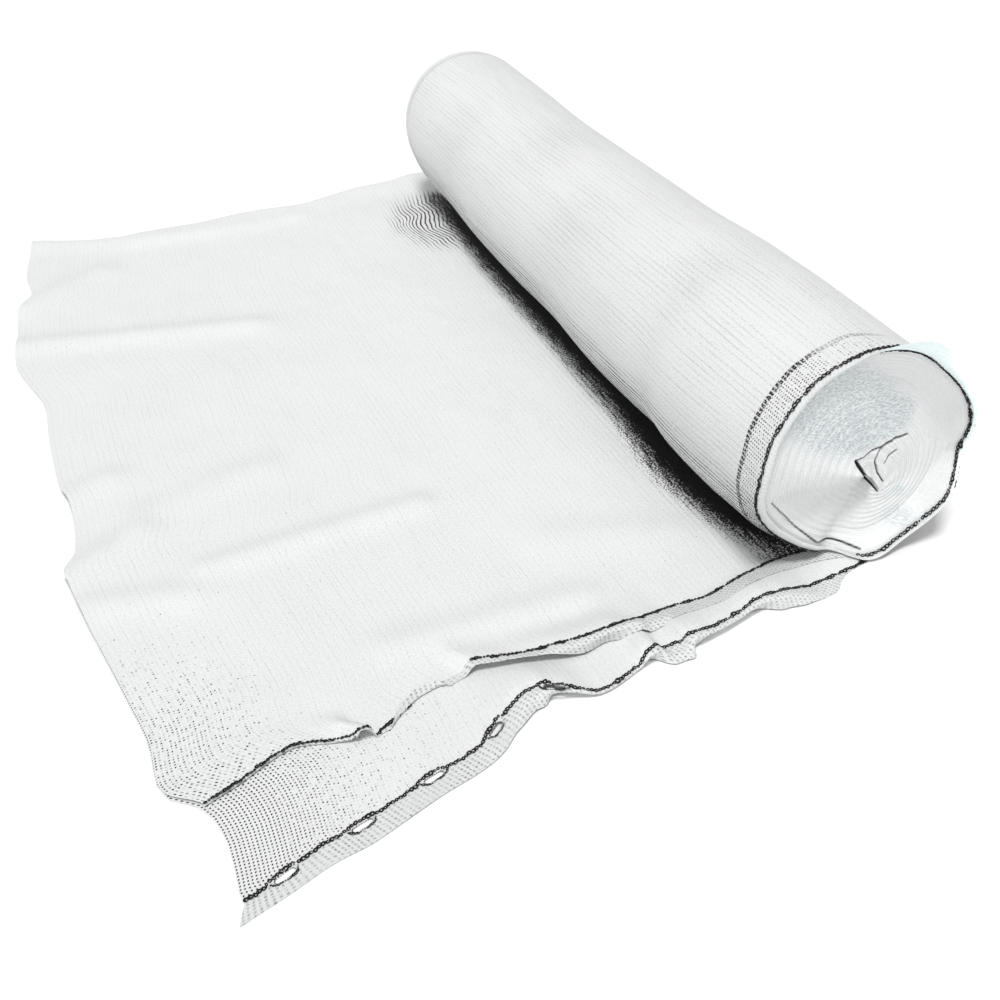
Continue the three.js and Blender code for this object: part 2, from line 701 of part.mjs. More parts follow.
const steps = Array.from({ length: ALONG_STEPS + 1 }, (_, i) => i);
const net = steps.map(netSection);
const strip = steps.map(stripSection);
const stripChain = strip[0].length - 2;
const netChain = 2 * ACROSS_STEPS + FOLD_STEPS + 1;
const openEyelets = eyelets(strip, stripChain);
const pastEyelets = (middle) => forkSwing(openEyelets, middle);
const innerStart = INNER_LINE[0].x;
const innerLastStep = (ALONG_STEPS * (CHAIN_END_X - innerStart)) / (END_X - innerStart);

const group = new THREE.Group();
group.add(
  piece('wound_roll', woundNet(), netCloth),
  piece('loose_net', clothSlab(net, LAYER), netCloth),
  piece('eyelet_selvedge', eyeletStrip(wasm, strip, openEyelets), netCloth),
  piece('outer_edge_chain', chainOn(strip, stripChain, ALONG_STEPS, pastEyelets), chainYarn),
  piece('inner_edge_chain', chainOn(net, netChain, innerLastStep, () => 0), chainYarn),
  piece('rim_edge_chain', rimChainSlab(), chainYarn),
);

export default group;
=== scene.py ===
"""Roll of scaffold netting with its loose end unrolled on the ground, dressed for rendering.

Tables and sizes are in millimetres and degrees, in the row frame: the roll's axis lies along Y,
the loose end lies towards -X with its fold at +Y and its two selvedges at -Y, and +Z is up.
Angles round the roll run from its bottom up the +X side. Finishes are worked out in metres.
"""

import logging
import math
from bisect import bisect_right
from dataclasses import dataclass
from enum import Enum
from functools import cache, cached_property, partial
from itertools import accumulate
from typing import Callable, Iterable, Mapping, NamedTuple, Sequence, TypeVar

import bmesh
import bpy
from mathutils import Matrix, Vector, noise


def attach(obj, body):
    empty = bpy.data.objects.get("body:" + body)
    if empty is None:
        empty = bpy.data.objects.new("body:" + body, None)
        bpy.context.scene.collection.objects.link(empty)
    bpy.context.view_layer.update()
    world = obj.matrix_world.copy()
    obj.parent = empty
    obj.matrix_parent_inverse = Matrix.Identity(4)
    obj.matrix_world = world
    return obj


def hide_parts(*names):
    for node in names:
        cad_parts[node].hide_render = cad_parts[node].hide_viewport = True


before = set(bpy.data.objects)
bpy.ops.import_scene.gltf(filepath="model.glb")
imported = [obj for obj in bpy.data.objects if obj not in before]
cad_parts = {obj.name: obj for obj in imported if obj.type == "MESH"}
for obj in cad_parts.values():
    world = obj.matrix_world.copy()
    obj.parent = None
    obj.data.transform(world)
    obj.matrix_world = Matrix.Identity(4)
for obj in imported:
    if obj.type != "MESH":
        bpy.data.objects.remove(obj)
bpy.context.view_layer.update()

Colour = tuple[float, float, float, float]
Span = tuple[float, float]
Hump = tuple[float, float, float, float]
Row = TypeVar("Row")

MM = 0.001
UP = Vector((0, 0, 1)).freeze()
BLACK: Colour = (0.002, 0.002, 0.002, 1)
log = logging.getLogger("netting")


class Slot(Enum):
    """Material slots of the record."""

    NET = "net"
    CHAIN = "chain"


class Part(Enum):
    """Nodes of the model that the pieces here stand for."""

    ROLL = "wound_roll"
    LOOSE = "loose_net"
    SELVEDGE = "eyelet_selvedge"
    OUTER_CHAIN = "outer_edge_chain"
    INNER_CHAIN = "inner_edge_chain"
    RIM_CHAIN = "rim_edge_chain"


class Course(Enum):
    """Stretches of the loose end's section, from the outer selvedge round to the inner one."""

    LOWER = "lower layer"
    FOLD = "fold"
    UPPER = "upper layer"
    HEM = "inner hem"


class LineRow(NamedTuple):
    """A point of a selvedge's black line; turned is 1 where the hem is turned under, -1 over."""

    x: float
    y: float
    turned: float


class HemRow(NamedTuple):
    """How much of the inner hem's width lies clear of tucks, at one place along it."""

    x: float
    share: float


class PlaceRow(NamedTuple):
    """A point of the fold or of the cut end."""

    x: float
    y: float


class RidgeRow(NamedTuple):
    """A soft ridge of the loose end between two points; width is how fast it dies away."""

    from_x: float
    from_y: float
    to_x: float
    to_y: float
    height: float
    width: float


class LumpRow(NamedTuple):
    """Small lumps of the loose end: their spacing along X and Y, a seed and their height."""

    x: float
    y: float
    seed: float
    height: float


class FadeRow(NamedTuple):
    """A change of a value that comes in between two places."""

    start: float
    end: float
    change: float


class SectionRow(NamedTuple):
    """The roll's radius towards the loose end and at its top, at one place along it."""

    y: float
    side: float
    top: float


class DentRow(NamedTuple):
    """A shallow dent in the wound net; length and spread are how fast it dies away."""

    y: float
    angle: float
    depth: float
    length: float
    spread: float


class RimRow(NamedTuple):
    """The last turn at the near end, at one angle round the roll.

    Chain, edge and face are the places of the black line, the hem's end and the end face along
    the roll; drawn and lean are how far the line and then the hem stand out from the barrel.
    """

    angle: float
    chain: float
    drawn: float
    edge: float
    face: float
    lean: float


class ReachRow(NamedTuple):
    """The far end's profile: how far along, at a share of the roll's radius."""

    reach: float
    y: float


class SlitRow(NamedTuple):
    """A point of a slit between turns on the near end face; rows of one slit follow in order."""

    slit: int
    x: float
    z: float
    width: float


class PatchRow(NamedTuple):
    """An oval patch of the near end face with painted blue-grey shade on it.

    Wide and high are its half sizes, turn is its tilt, and soft is the share that fades out.
    """

    x: float
    z: float
    wide: float
    high: float
    turn: float
    soft: float
    strength: float


def table(kind: type[Row], *rows: Sequence[float]) -> tuple[Row, ...]:
    """Makes a table whose rows are all of one kind."""
    return tuple(kind(*row) for row in rows)


OUTER_LINE = table(
    LineRow,
    (-788, -981, 0), (-747, -963, 0), (-707, -943, 0), (-667, -933, 0), (-627, -917, 0),
    (-583, -899, 0), (-536, -883, 0), (-508, -868, 0.1), (-483, -845, 0.15), (-448, -828, 0.35),
    (-416, -840, 0.8), (-373, -851, 1), (-320, -831, 1), (-300, -822, 0.7), (-280, -815, 0.15),
    (-262, -815, 0.2), (-246, -817, 0.65), (-213, -812, 0.8), (-178, -801, 0.8),
    (-150, -791, 0.7), (-120, -788, 0.45), (-90, -783, 0.3), (-62, -775, 0.1), (-30, -769, 0.3),
    (20, -760, 0.8),
)
INNER_LINE = table(
    LineRow,
    (-806, -850, 1), (-767, -833, 1), (-708, -804, 1), (-667, -812, 1), (-645, -819, 0.95),
    (-626, -823, 0.5), (-612, -816, -0.6), (-585, -799, -1), (-563, -782, -1), (-540, -771, -0.9),
    (-515, -762, -0.2), (-491, -757, 0.35), (-436, -768, 0.3), (-377, -774, 0.45),
    (-338, -773, 0.6), (-283, -760, 0.2), (-242, -747, 0), (-190, -746, 0), (-125, -726, 0),
    (-81, -714, 0), (-40, -712, 0), (20, -722, 0),
)
INNER_HEM = table(
    HemRow,
    (-806, 1), (-660, 0.8), (-640, 0.2), (-622, 0.12), (-604, 0.26), (-570, 0.5), (-535, 0.5),
    (-515, 0.4), (-495, 0.42), (-420, 0.5), (-370, 0.9), (-300, 1), (20, 1),
)
FOLD_LINE = table(
    PlaceRow,
    (-914, 842), (-860, 818), (-781, 786), (-700, 778), (-575, 782), (-455, 796), (-359, 786),
    (-240, 826), (-158, 830), (-106, 850), (-50, 872), (20, 878),
)
CUT_LINE = table(
    PlaceRow,
    (-790, -1010), (-788, -965), (-788, -927), (-791, -892), (-806, -850), (-838, -822),
    (-846, -800), (-848, -735), (-860, -671), (-880, -575), (-895, -505), (-911, -417),
    (-916, -381), (-900, -336), (-899, -222), (-911, -161), (-919, -6), (-921, 107), (-945, 199),
    (-961, 273), (-956, 365), (-949, 500), (-925, 566), (-932, 663), (-914, 842),
)
RIDGES = table(
    RidgeRow,
    (-960, 345, -560, 248, 9, 34), (-940, 505, -800, 620, 8, 38), (-700, 735, -380, 725, 6, 30),
    (-900, -200, -850, -172, 7, 30), (-810, -285, -640, -235, 5, 36),
    (-915, -398, -820, -330, 9, 30), (-895, -468, -770, -495, 6, 32),
    (-740, -445, -455, -415, 7, 26), (-560, -690, -330, -690, 6, 30),
    (-330, -560, -180, -610, 4, 40),
)
SECTIONS = table(
    SectionRow,
    (-755, 140, 142), (-683, 141, 142), (-600, 147, 144), (-502, 148, 146), (-444, 143, 146),
    (-363, 146, 145), (-227, 149, 139), (-62, 144, 138), (110, 147, 137), (322, 146, 137),
    (500, 139, 143), (643, 138, 146), (760, 123, 148),
)
DENTS = table(
    DentRow,
    (-430, -150, 4, 60, 40), (-120, -125, 3, 110, 25), (150, -165, 3, 90, 30),
    (420, -120, 3, 90, 28), (0, 90, 3, 140, 30),
)
RIM = table(
    RimRow,
    (-180, -744, 0, -750, -737, -1), (-168, -748, 0, -753, -739, -4),
    (-150, -751, 0, -756, -744, -6), (-133, -756, 0, -761, -749, -6),
    (-118, -759, 0, -764, -753, -6), (-101, -763, 0, -768, -756, -6),
    (-84, -758, 0, -763, -752, -6), (-74, -753, -3, -758, -746, -6),
    (-61, -746, -9, -751, -739, -6), (-45, -740, -13, -745, -733, -6),
    (-29, -737, -12, -742, -730, -5), (-17, -733, -8, -738, -727, -5),
    (-6, -726, -2, -732, -722, -4), (8, -757, 0, -763, -735, 0), (30, -756, 0, -761, -738, 0),
    (45, -759, 0, -765, -738, 0), (58, -765, 0, -769, -738, 0), (68, -760, 0, -763, -738, 0),
    (76, -753, 0, -757, -738, 0), (83, -750, 0, -755, -738, 0), (90, -755, 0, -759, -738, 0),
    (100, -764, 0, -768, -738, 0), (110, -767, 0, -775, -738, 0), (130, -766, 0, -775, -738, 1),
    (141, -761, 1, -772, -738, 5), (149, -758, 4, -772, -738, 16), (158, -756, 6, -769, -737, 15),
    (169, -750, 5, -762, -737, 8), (180, -744, 0, -750, -737, -1),
)
FAR_PROFILE = table(
    ReachRow,
    (0, 740), (0.3, 748), (0.62, 757), (0.85, 763), (0.94, 757), (0.985, 744), (1, 722),
)
SLITS = table(
    SlitRow,
    (1, 1.5, 138, 2.6), (1, 5, 132, 3.6), (1, 14, 116.5, 2.8), (1, 36, 91, 1.6),
    (1, 45.5, 77.5, 0.5), (2, 1.5, 138.5, 0.5), (2, 18, 136, 0.6), (2, 43, 141.5, 0.8),
    (3, 43, 141.5, 0.8), (3, 60, 150, 2.0), (3, 75, 152, 1.4), (4, 57, 146.5, 0.5),
    (4, 47, 142.5, 0.9), (4, 40, 134, 0.9), (4, 36.5, 122, 0.8), (4, 43, 104.5, 0.4),
    (4, 52, 90, 0.1), (5, 50.5, 117.5, 0.4), (5, 56, 128.5, 0.8), (5, 64, 132.5, 0.6),
    (6, -114, 117, 0.2), (6, -69.5, 61.5, 0.7), (6, -32.5, 23, 1.5), (6, 15.5, 13, 1.0),
)
PATCHES = table(
    PatchRow,
    (-24, 214, 110, 68, -28, 0.4, 1.0), (22, 182, 66, 44, 8, 0.3, 1.0),
    (72, 41, 24, 17, 0, 0.6, 0.6), (74, 72, 13, 11, 0, 0.6, 0.6),
)
LUMPS = table(LumpRow, (95, 140, 0.5, 1.6), (34, 48, 3.5, 0.6))
LOWER_OPEN_MOST = 0.68
LOWER_OPEN = table(FadeRow, (-640, -420, -0.16), (-840, -600, -0.5))
# How the painted shadow in the crease under the roll widens, narrows and fades along the roll.
PAINTED_SHADOW_FAR = table(FadeRow, (250, 600, -0.12))
PAINTED_SHADOW_NEAR = table(FadeRow, (-250, -450, 0.12), (-470, -740, -0.3))
PAINTED_SHADOW_ENDS = table(FadeRow, (-600, -740, -0.45), (540, 680, -0.3), (700, 770, -0.65))


def smoothstep(at: float, low: float, high: float) -> float:
    """Eases from 0 at low to 1 at high, where low may be the greater."""
    share = min(max((at - low) / (high - low), 0.0), 1.0)
    return share * share * (3 - 2 * share)


def lerp(low: float, high: float, share: float) -> float:
    """The value a share of the way from low to high."""
    return low + (high - low) * share


def hump(at: float, low: float, rise: float, fall: float, high: float) -> float:
    """Eases from 0 at low to 1 at rise, and from fall on back to 0 at high."""
    return smoothstep(at, low, rise) * (1 - smoothstep(at, fall, high))


def faded(rows: Iterable[FadeRow], at: float, full: float = 1.0) -> float:
    """A value that is full but for the changes of a table, at one place."""
    return full + sum(row.change * smoothstep(at, row.start, row.end) for row in rows)


def within_turn(angle: float) -> float:
    """An angle in degrees, brought between -180 and 180."""
    return (angle + 180) % 360 - 180


def on_oval(angle: float, across: float, up: float) -> tuple[float, float]:
    """A point of an oval about the roll's axis, sideways and upwards, at an angle in degrees."""
    turn = math.radians(angle)
    return across * math.sin(turn), -up * math.cos(turn)


@dataclass(frozen=True)
class Graph:
    """A column of a table, read between its rows.

    Attributes:
        at: where the rows are, in rising order.
        values: the column's value at each row.
    """

    at: tuple[float, ...]
    values: tuple[float, ...]

    @classmethod
    def of(cls, rows: Iterable[NamedTuple], along: str, name: str) -> "Graph":
        """Reads a column.

        Args:
            rows: the table.
            along: the column that the rows run along.
            name: the column that is read.

        Returns:
            The column as a graph.
        """
        pairs = [(getattr(row, along), getattr(row, name)) for row in rows]
        return cls(tuple(at for at, _ in pairs), tuple(value for _, value in pairs))

    @cached_property
    def slopes(self) -> tuple[float, ...]:
        """The graph's slope at each row."""
        last = len(self.at) - 1
        spans = [(max(i - 1, 0), min(i + 1, last)) for i in range(last + 1)]
        return tuple((self.values[b] - self.values[a]) / (self.at[b] - self.at[a]) for a, b in spans)

    def _span(self, at: float) -> tuple[int, float]:
        """Finds a place among the rows.

        Args:
            at: the place.

        Returns:
            The row before it, and the share of the way to the next.
        """
        i = min(max(bisect_right(self.at, at) - 1, 0), len(self.at) - 2)
        share = (at - self.at[i]) / (self.at[i + 1] - self.at[i])
        return i, min(max(share, 0.0), 1.0)

    def smooth(self, at: float) -> float:
        """Reads the graph on a smooth curve through the rows.

        Args:
            at: the place.

        Returns:
            The value there.
        """
        i, share = self._span(at)
        width = self.at[i + 1] - self.at[i]
        rest = 1 - share
        leaving = share * rest * rest * width * self.slopes[i]
        arriving = share * share * rest * width * self.slopes[i + 1]
        eased = lerp(self.values[i], self.values[i + 1], smoothstep(share, 0, 1))
        return eased + leaving - arriving

    def eased(self, at: float) -> float:
        """The value at a place, eased from row to row and never past either."""
        i, share = self._span(at)
        return lerp(self.values[i], self.values[i + 1], smoothstep(share, 0, 1))


def distances(points: Sequence[Vector]) -> tuple[float, ...]:
    """How far along a path each of its points is."""
    return tuple(accumulate(((b - a).length for a, b in zip(points, points[1:])), initial=0.0))


def graphs_along(at: tuple[float, ...], vectors: Sequence[Vector]) -> list[Graph]:
    """Graphs of the x, y and z of vectors that stand along a path."""
    return [Graph(at, tuple(vector[i] for vector in vectors)) for i in range(3)]


def read(graphs: Sequence[Graph], at: float) -> Vector:
    """The vector that the graphs of its x, y and z give at a place."""
    return Vector(tuple(graph.smooth(at) for graph in graphs))


def maths(operation: str, flipped: bool = False) -> Callable[..., "Reading"]:
    """Makes a method of Reading that adds one Math node.

    Args:
        operation: the node's operation.
        flipped: whether the other value comes before the reading, as in 1 - mask.

    Returns:
        The method.
    """
    def method(self: "Reading", *others: "Reading | float") -> "Reading":
        """Adds the node and gives what comes out of it."""
        values = (*others, self) if flipped else (self, *others)
        node = self.sheet.add("ShaderNodeMath", {"operation": operation}, dict(enumerate(values)))
        return Reading(self.sheet, node.outputs[0])
    return method


class Reading:
    """A shader value that is written like a number."""

    __add__ = maths("ADD")
    __radd__ = maths("ADD", flipped=True)
    __sub__ = maths("SUBTRACT")
    __rsub__ = maths("SUBTRACT", flipped=True)
    __mul__ = maths("MULTIPLY")
    __rmul__ = maths("MULTIPLY", flipped=True)
    __truediv__ = maths("DIVIDE")
    floor = maths("FLOOR")
    fract = maths("FRACT")
    root = maths("SQRT")
    size = maths("ABSOLUTE")
    least = maths("MINIMUM")
    most = maths("MAXIMUM")

    def __init__(self, sheet: "NodeSheet", socket: bpy.types.NodeSocket) -> None:
        """Wraps a socket of a node sheet."""
        self.sheet = sheet
        self.socket = socket

    def eased(self, low: float, high: float) -> "Reading":
        """Eases from 0 at low to 1 at high, where low may be the greater.

        Args:
            low: where it starts to leave 0.
            high: where it has reached 1.

        Returns:
            The eased value.
        """
        flip = low > high
        ends = {"From Min": min(low, high), "From Max": max(low, high)}
        outs = {"To Min": 1.0 if flip else 0.0, "To Max": 0.0 if flip else 1.0}
        settings = {"interpolation_type": "SMOOTHSTEP"}
        node = self.sheet.add("ShaderNodeMapRange", settings, {"Value": self, **ends, **outs})
        return Reading(self.sheet, node.outputs["Result"])

    def within(self) -> "Reading":
        """The value, kept between 0 and 1."""
        return self.most(0.0).least(1.0)

    def at_least(self, least: float) -> "Reading":
        """The value from 0 to 1, brought between a least value and 1."""
        return least + self * (1 - least)


class Grain(NamedTuple):
    """A noise that a finish reads.

    Attributes:
        along: lumps to a metre one way, lengthways on the cloth.
        across: lumps to a metre the other way.
        seed: sets it apart from the others.
        detail: how many finer noises are laid on it.
    """

    along: float
    across: float
    seed: float
    detail: float


class NodeSheet:
    """A material's nodes, with a Principled surface that is ready to be fed."""

    def __init__(self, name: str, constants: Mapping[str, object]) -> None:
        """Starts a material.

        Args:
            name: the material's name.
            constants: values of the surface's sockets that are the same all over.
        """
        self.material = bpy.data.materials.new(name)
        self.material.use_nodes = True
        self.tree = self.material.node_tree
        self.tree.nodes.clear()
        self.surface = self.add("ShaderNodeBsdfPrincipled", {}, constants)
        self.add("ShaderNodeOutputMaterial", {}, {"Surface": self.surface.outputs[0]})

    def add(self, kind: str, settings: Mapping[str, object], inputs: Mapping) -> bpy.types.Node:
        """Adds a node.

        Args:
            kind: the node's type.
            settings: its properties, which are set first.
            inputs: values or links for its sockets, by name or number.

        Returns:
            The node.
        """
        node = self.tree.nodes.new(kind)
        for name, value in settings.items():
            setattr(node, name, value)
        for key, value in inputs.items():
            self.feed(node.inputs[key], value)
        return node

    def feed(self, socket: bpy.types.NodeSocket, value: object) -> None:
        """Sets or links a socket.

        Args:
            socket: the socket.
            value: its value, or the reading or socket that it is linked to.
        """
        if isinstance(value, Reading):
            value = value.socket
        if isinstance(value, bpy.types.NodeSocket):
            self.tree.links.new(value, socket)
        else:
            socket.default_value = value

    def lie(self) -> tuple[Reading, Reading]:
        """Reads the cloth's own distances from its UV map.

        Returns:
            The lengthways and the crossways distance, in metres.
        """
        place = self.add("ShaderNodeUVMap", {"uv_map": "lie"}, {})
        parts = self.add("ShaderNodeSeparateXYZ", {}, {0: place.outputs[0]})
        return Reading(self, parts.outputs[0]), Reading(self, parts.outputs[1])

    def painted(self, name: str) -> Reading:
        """A number that the piece's points carry."""
        node = self.add("ShaderNodeAttribute", {"attribute_name": name}, {})
        return Reading(self, node.outputs["Fac"])

    def object_place(self) -> tuple[Reading, ...]:
        """Reads the Object coordinates.

        Returns:
            The x, y and z, in metres.
        """
        place = self.add("ShaderNodeTexCoord", {}, {})
        parts = self.add("ShaderNodeSeparateXYZ", {}, {0: place.outputs["Object"]})
        return tuple(Reading(self, parts.outputs[i]) for i in range(3))

    def noise(self, u: Reading, v: Reading, w: "Reading | float", detail: float) -> Reading:
        """Soft noise about 0.5, one lump to a unit.

        Args:
            u, v, w: where it is read.
            detail: how many finer noises are laid on it.

        Returns:
            The noise.
        """
        place = self.add("ShaderNodeCombineXYZ", {}, {0: u, 1: v, 2: w})
        inputs = {"Vector": place.outputs[0], "Scale": 1.0, "Detail": detail, "Roughness": 0.55}
        return Reading(self, self.add("ShaderNodeTexNoise", {}, inputs).outputs[0])

    def blend(self, share: Reading, first: object, second: object) -> bpy.types.NodeSocket:
        """Mixes two colours.

        Args:
            share: 0 gives the first, 1 the second.
            first, second: colours or their sockets.

        Returns:
            The mixed colour's socket.
        """
        settings = {"data_type": "RGBA", "clamp_factor": True}
        node = self.add("ShaderNodeMix", settings, {0: share, 6: first, 7: second})
        return node.outputs[2]

    def relief(self, height: Reading, depth: float) -> bpy.types.NodeSocket:
        """A normal that stands in for fine relief.

        Args:
            height: the relief, from 0 to 1.
            depth: its real depth in metres.

        Returns:
            The normal's socket.
        """
        inputs = {"Strength": 1.0, "Distance": depth, "Height": height}
        return self.add("ShaderNodeBump", {}, inputs).outputs[0]

    def grain(self, u: Reading, v: Reading, grain: Grain) -> Reading:
        """A grain's noise at a place, about 0.5."""
        return self.noise(u * grain.along, v * grain.across, grain.seed, grain.detail)

    def dress(self, colour: bpy.types.NodeSocket, roughness: Reading, height: Reading,
              depth: float) -> bpy.types.Material:
        """Feeds the surface.

        Args:
            colour: its colour's socket.
            roughness: its roughness.
            height: its fine relief, from 0 to 1.
            depth: the relief's real depth, in metres.

        Returns:
            The finished material.
        """
        self.feed(self.surface.inputs["Base Color"], colour)
        self.feed(self.surface.inputs["Roughness"], roughness)
        self.feed(self.surface.inputs["Normal"], self.relief(height, depth))
        return self.material


@dataclass(frozen=True)
class Knit:
    """The net's mesh: loops in staggered rows, and courses that stand a little proud.

    Attributes:
        pitch, squash: from one gap to the next, in metres, and how much narrower it is lengthways.
        course: from one proud course to the next, in metres.
        gap, line: how far from its middle a gap or a line has ended, and is whole.
        waver, stray: the grain by which the lines wander, and how far, in courses.
        pulled, haul: the same where the cloth is pulled.
        worn, loops: the grains that wear and break the lines, and the least that they leave.
    """

    pitch: float = 0.0042
    squash: float = 1.3
    gap: Span = (0.32, 0.20)
    course: float = 0.0075
    line: Span = (0.26, 0.04)
    waver: Grain = Grain(9.0, 4.0, 0.3, 2.0)
    stray: float = 1.5
    pulled: Grain = Grain(5.0, 16.0, 2.3, 1.0)
    haul: float = 4.5
    worn: Grain = Grain(150.0, 9.0, 1.7, 2.0)
    worn_least: float = 0.25
    loops: Grain = Grain(240.0, 240.0, 6.0, 1.0)
    loops_least: float = 0.45

    def gaps(self, u: Reading, v: Reading) -> Reading:
        """Works out where the mesh is open.

        Args:
            u, v: the lengthways and the crossways distance.

        Returns:
            1 in the middle of a gap, 0 on the yarn.
        """
        row = (u / self.pitch).floor()
        du = (u / self.pitch).fract() - 0.5
        dv = (v / self.pitch + row * 0.5).fract() - 0.5
        return (du * du * self.squash + dv * dv).root().eased(*self.gap)

    def courses(self, sheet: NodeSheet, u: Reading, v: Reading) -> Reading:
        """Works out the thin lines between courses, wavering and worn in places.

        Args:
            sheet: the material's nodes.
            u, v: the lengthways and the crossways distance.

        Returns:
            1 on a line, 0 between lines.
        """
        pulled = sheet.grain(u, v, self.pulled) * sheet.painted("pull")
        wander = sheet.grain(u, v, self.waver) * self.stray + pulled * self.haul
        line = ((u / self.course + wander).fract() - 0.5).size().eased(*self.line)
        worn = sheet.grain(u, v, self.worn).eased(0.3, 0.66).at_least(self.worn_least)
        loops = sheet.grain(u, v, self.loops).eased(0.3, 0.6).at_least(self.loops_least)
        return line * worn * loops


@dataclass(frozen=True)
class ShownChain:
    """The chain of the layer beneath, showing through as two dashed strands.

    Attributes:
        band: from the rim's chain to this one, in metres.
        apart, strand: half the space between the strands, and how wide each is, in metres.
        dash, bar: from one dash to the next, in metres, and how much of that each fills.
        waver, stray: the grain by which it wanders, and how far, in metres.
        rough, broken: the grain that breaks its dashes, and between what values.
    """

    band: float = 0.043
    apart: float = 0.0019
    strand: Span = (0.0030, 0.0013)
    dash: float = 0.0056
    bar: Span = (0.46, 0.30)
    waver: Grain = Grain(45.0, 0.0, 9.0, 2.0)
    stray: float = 0.004
    rough: Grain = Grain(380.0, 380.0, 1.0, 1.0)
    broken: Span = (0.34, 0.48)

    def ink(self, sheet: NodeSheet, u: Reading, v: Reading) -> Reading:
        """Works out where the strands show.

        Args:
            sheet: the material's nodes.
            u, v: the lengthways distance, and the distance from the rim's chain.

        Returns:
            1 on a strand, 0 off it.
        """
        waver = sheet.grain(u, v, self.waver) - 0.5
        off = ((v + waver * self.stray - self.band).size() - self.apart).size()
        bar = ((u / self.dash + waver).fract() - 0.5).size().eased(*self.bar)
        rough = sheet.grain(u, v, self.rough).eased(*self.broken)
        return off.eased(*self.strand) * bar * rough * sheet.painted("band")


@dataclass(frozen=True)
class NetFinish:
    """White knitted polyethylene, with its mesh and its courses, and painted shade in its creases, gaps and
    lines.

    Attributes:
        gap: colour of the painted shade seen down through the gaps, which the lines between courses darken
            towards too.
        black: colour of the black painted shadow deepest in the crease, and of the chain that shows through.
        line, shade_line: how dark the lines between courses are, and how much more painted shade darkens them
            in the crease and on the roll's underside.
        lane, grain, mottle: how much the tone varies by lanes, by loops and by clouds.
        relief: depth of the knit, in metres.
        contact_shadow: between what values of the painted shade the painted shadow in the crease turns black.
        ragged: how far loops and streaks shift its edge.
    """

    name: str
    yarn: Colour = (0.74, 0.745, 0.745, 1)
    gap: Colour = (0.03, 0.031, 0.033, 1)
    black: Colour = (0.003, 0.003, 0.003, 1)
    line: float = 0.3
    shade_line: float = 1.1
    lane: float = 0.1
    grain: float = 0.1
    mottle: float = 0.12
    relief: float = 0.0005
    scatter: Grain = Grain(150.0, 150.0, 7.0, 1.0)
    clouds: Grain = Grain(7.0, 5.0, 4.0, 3.0)
    lanes: Grain = Grain(22.0, 1.6, 8.0, 2.0)
    loops: Grain = Grain(360.0, 360.0, 2.0, 2.0)
    streaks: Grain = Grain(260.0, 24.0, 5.0, 2.0)
    contact_shadow: Span = (0.30, 0.70)
    ragged: Span = (2.2, 1.2)
    knit: Knit = Knit()
    chain: ShownChain = ShownChain()

    def make(self) -> bpy.types.Material:
        """Builds the material.

        Returns:
            The material.
        """
        constants = {"Specular IOR Level": 0.3, "Sheen Weight": 0.08, "Sheen Roughness": 0.5}
        sheet = NodeSheet(self.name, constants)
        u, v = sheet.lie()
        shade, opened = sheet.painted("shade"), sheet.painted("open")
        seen = (sheet.grain(u, v, self.scatter) + opened * 0.9 - 0.8).eased(-0.12, 0.12)
        # The gaps show painted shade, standing in for the shaded space beneath the mesh.
        gaps = self.knit.gaps(u, v)
        lines = self.knit.courses(sheet, u, v)
        loops = sheet.grain(u, v, self.loops)
        # The course lines take more painted shade in the crease, on the roll's underside and where the
        # courses are pulled.
        dark = gaps * seen + lines * (self.line + shade * self.shade_line + sheet.painted("rib"))
        dark = dark + (0.5 - sheet.grain(u, v, self.clouds)) * self.mottle
        dark = dark + (0.5 - sheet.grain(u, v, self.lanes)) * self.lane
        # Painted shade in the roll's dents darkens the tone.
        dark = dark + (loops.eased(0.36, 0.64) - 0.5) * self.grain + sheet.painted("soft")
        colour = sheet.blend(dark.within(), self.yarn, self.gap)
        # A black painted shadow in the crease under the roll and on the roll's underside, with a ragged edge,
        # and the chain beneath that shows through.
        by_loop, by_streak = self.ragged
        ragged = (loops - 0.5) * by_loop + (sheet.grain(u, v, self.streaks) - 0.5) * by_streak
        unsettled = shade * (1.0 - shade) * 4.0
        contact_shadow = (shade + ragged * unsettled).eased(*self.contact_shadow)
        shadow_and_chain = (contact_shadow + self.chain.ink(sheet, u, v)).least(1.0)
        colour = sheet.blend(shadow_and_chain, colour, self.black)
        height = 0.6 - gaps * 0.35 - lines * 0.6 + loops * 0.2
        return sheet.dress(colour, 0.6 + loops * 0.2, height, self.relief)


